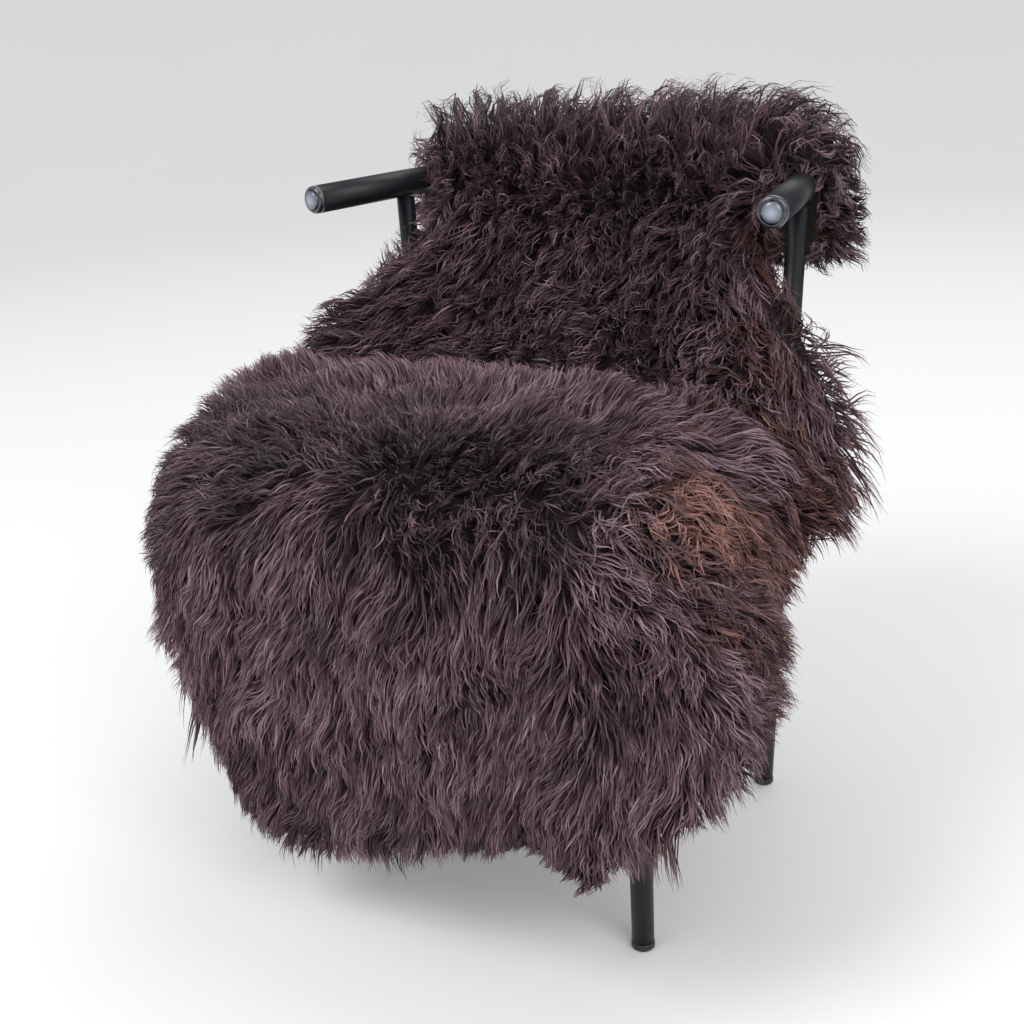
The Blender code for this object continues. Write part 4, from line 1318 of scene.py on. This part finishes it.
# %% Floor and lights
FLOOR_FLAT = 5.0
FLOOR_CURVE = 4.0
FLOOR_SIDES = 96
FLOOR_RINGS = 13
floor_finish = Finish("pale floor", Roughness=1.0, Specular_IOR_Level=0.0)
floor_finish.mottle((0.77, 0.77, 0.77), (0.80, 0.80, 0.80), 0.6, 2.0)
floor_mesh = bpy.data.meshes.new("floor")
round_way = np.linspace(0.0, 2 * math.pi, FLOOR_SIDES, endpoint=False)
rising = np.linspace(0.0, math.pi / 2, FLOOR_RINGS)
floor_points = [
    (radius * math.cos(a), radius * math.sin(a), height)
    for radius, height in zip(FLOOR_FLAT + FLOOR_CURVE * np.sin(rising),
                              FLOOR_CURVE * (1.0 - np.cos(rising)))
    for a in round_way
]
floor_faces = [list(range(FLOOR_SIDES)), *ring_quads(FLOOR_RINGS, FLOOR_SIDES).tolist()]
floor_mesh.from_pydata(floor_points, [], floor_faces)
floor_mesh.shade_smooth()
floor_mesh.materials.append(floor_finish.material)
floor = bpy.data.objects.new("floor", floor_mesh)
bpy.context.scene.collection.objects.link(floor)


def stand(piece, right, up, back, place):
    """Puts a light or a camera in the scene at a place. It looks away from its back."""
    turned = np.eye(4)
    turned[:3] = np.stack([right, up, back, place + CHAIR_MIDDLE], -1)
    bpy.context.scene.collection.objects.link(piece)
    piece.matrix_world = Matrix(turned.tolist())


def add_light(name, place, aim, size, power):
    """A square soft light that faces its aim."""
    light = bpy.data.lights.new(name, "AREA")
    light.size = size
    light.energy = power
    back = unit(np.array(place) - np.array(aim))
    right = unit(np.cross((0.0, 0.0, 1.0), back))
    stand(bpy.data.objects.new(name, light), right, np.cross(back, right), back, place)


add_light("key_light", (-1.7, -3.4, 4.6), (0.0, -0.05, 0.35), 2.6, 148.0)
add_light("fill_light", (3.8, -2.4, 3.2), (0.0, -0.05, 0.40), 3.6, 126.0)
add_light("top_light", (0.35, 2.0, 4.9), (0.0, 0.10, 0.50), 3.4, 75.0)
world = bpy.data.worlds.new("pale studio")
world.use_nodes = True
background = world.node_tree.nodes["Background"].inputs
background["Color"].default_value = (0.90, 0.91, 0.93, 1.0)
background["Strength"].default_value = 0.74
bpy.context.scene.world = world
bpy.context.scene.view_settings.view_transform = "Standard"
print("three lights")

# %% [markdown]
# ## Camera
#
# The camera stands on the chair's front right, a little above it, and is tilted by a few
# degrees about its own axis.

# %% Camera
CAMERA_PLACE = (0.7362, -1.1528, 0.8840)
CAMERA_TURN = math.radians(33.33)
CAMERA_PITCH = math.radians(22.60)
CAMERA_ROLL = math.radians(-3.81)
FOCAL_PIXELS = 1349.5
IMAGE_SIDE = 1024
MIDDLE_PIXEL = (503.5, 558.4)
SENSOR_WIDTH = 36.0

forward = np.array((
    -math.sin(CAMERA_TURN) * math.cos(CAMERA_PITCH),
    math.cos(CAMERA_TURN) * math.cos(CAMERA_PITCH),
    -math.sin(CAMERA_PITCH)))
level = np.array((math.cos(CAMERA_TURN), math.sin(CAMERA_TURN), 0.0))
upright = np.cross(level, forward)
right = level * math.cos(CAMERA_ROLL) + upright * math.sin(CAMERA_ROLL)
up = upright * math.cos(CAMERA_ROLL) - level * math.sin(CAMERA_ROLL)
camera_data = bpy.data.cameras.new("camera")
camera_data.sensor_width = SENSOR_WIDTH
camera_data.lens = FOCAL_PIXELS / IMAGE_SIDE * SENSOR_WIDTH
camera_data.shift_x = (IMAGE_SIDE / 2 - MIDDLE_PIXEL[0]) / IMAGE_SIDE
camera_data.shift_y = (MIDDLE_PIXEL[1] - IMAGE_SIDE / 2) / IMAGE_SIDE
camera = bpy.data.objects.new("camera", camera_data)
stand(camera, right, up, -forward, CAMERA_PLACE)
bpy.context.scene.camera = camera
print("lens", round(camera_data.lens, 2), "mm")
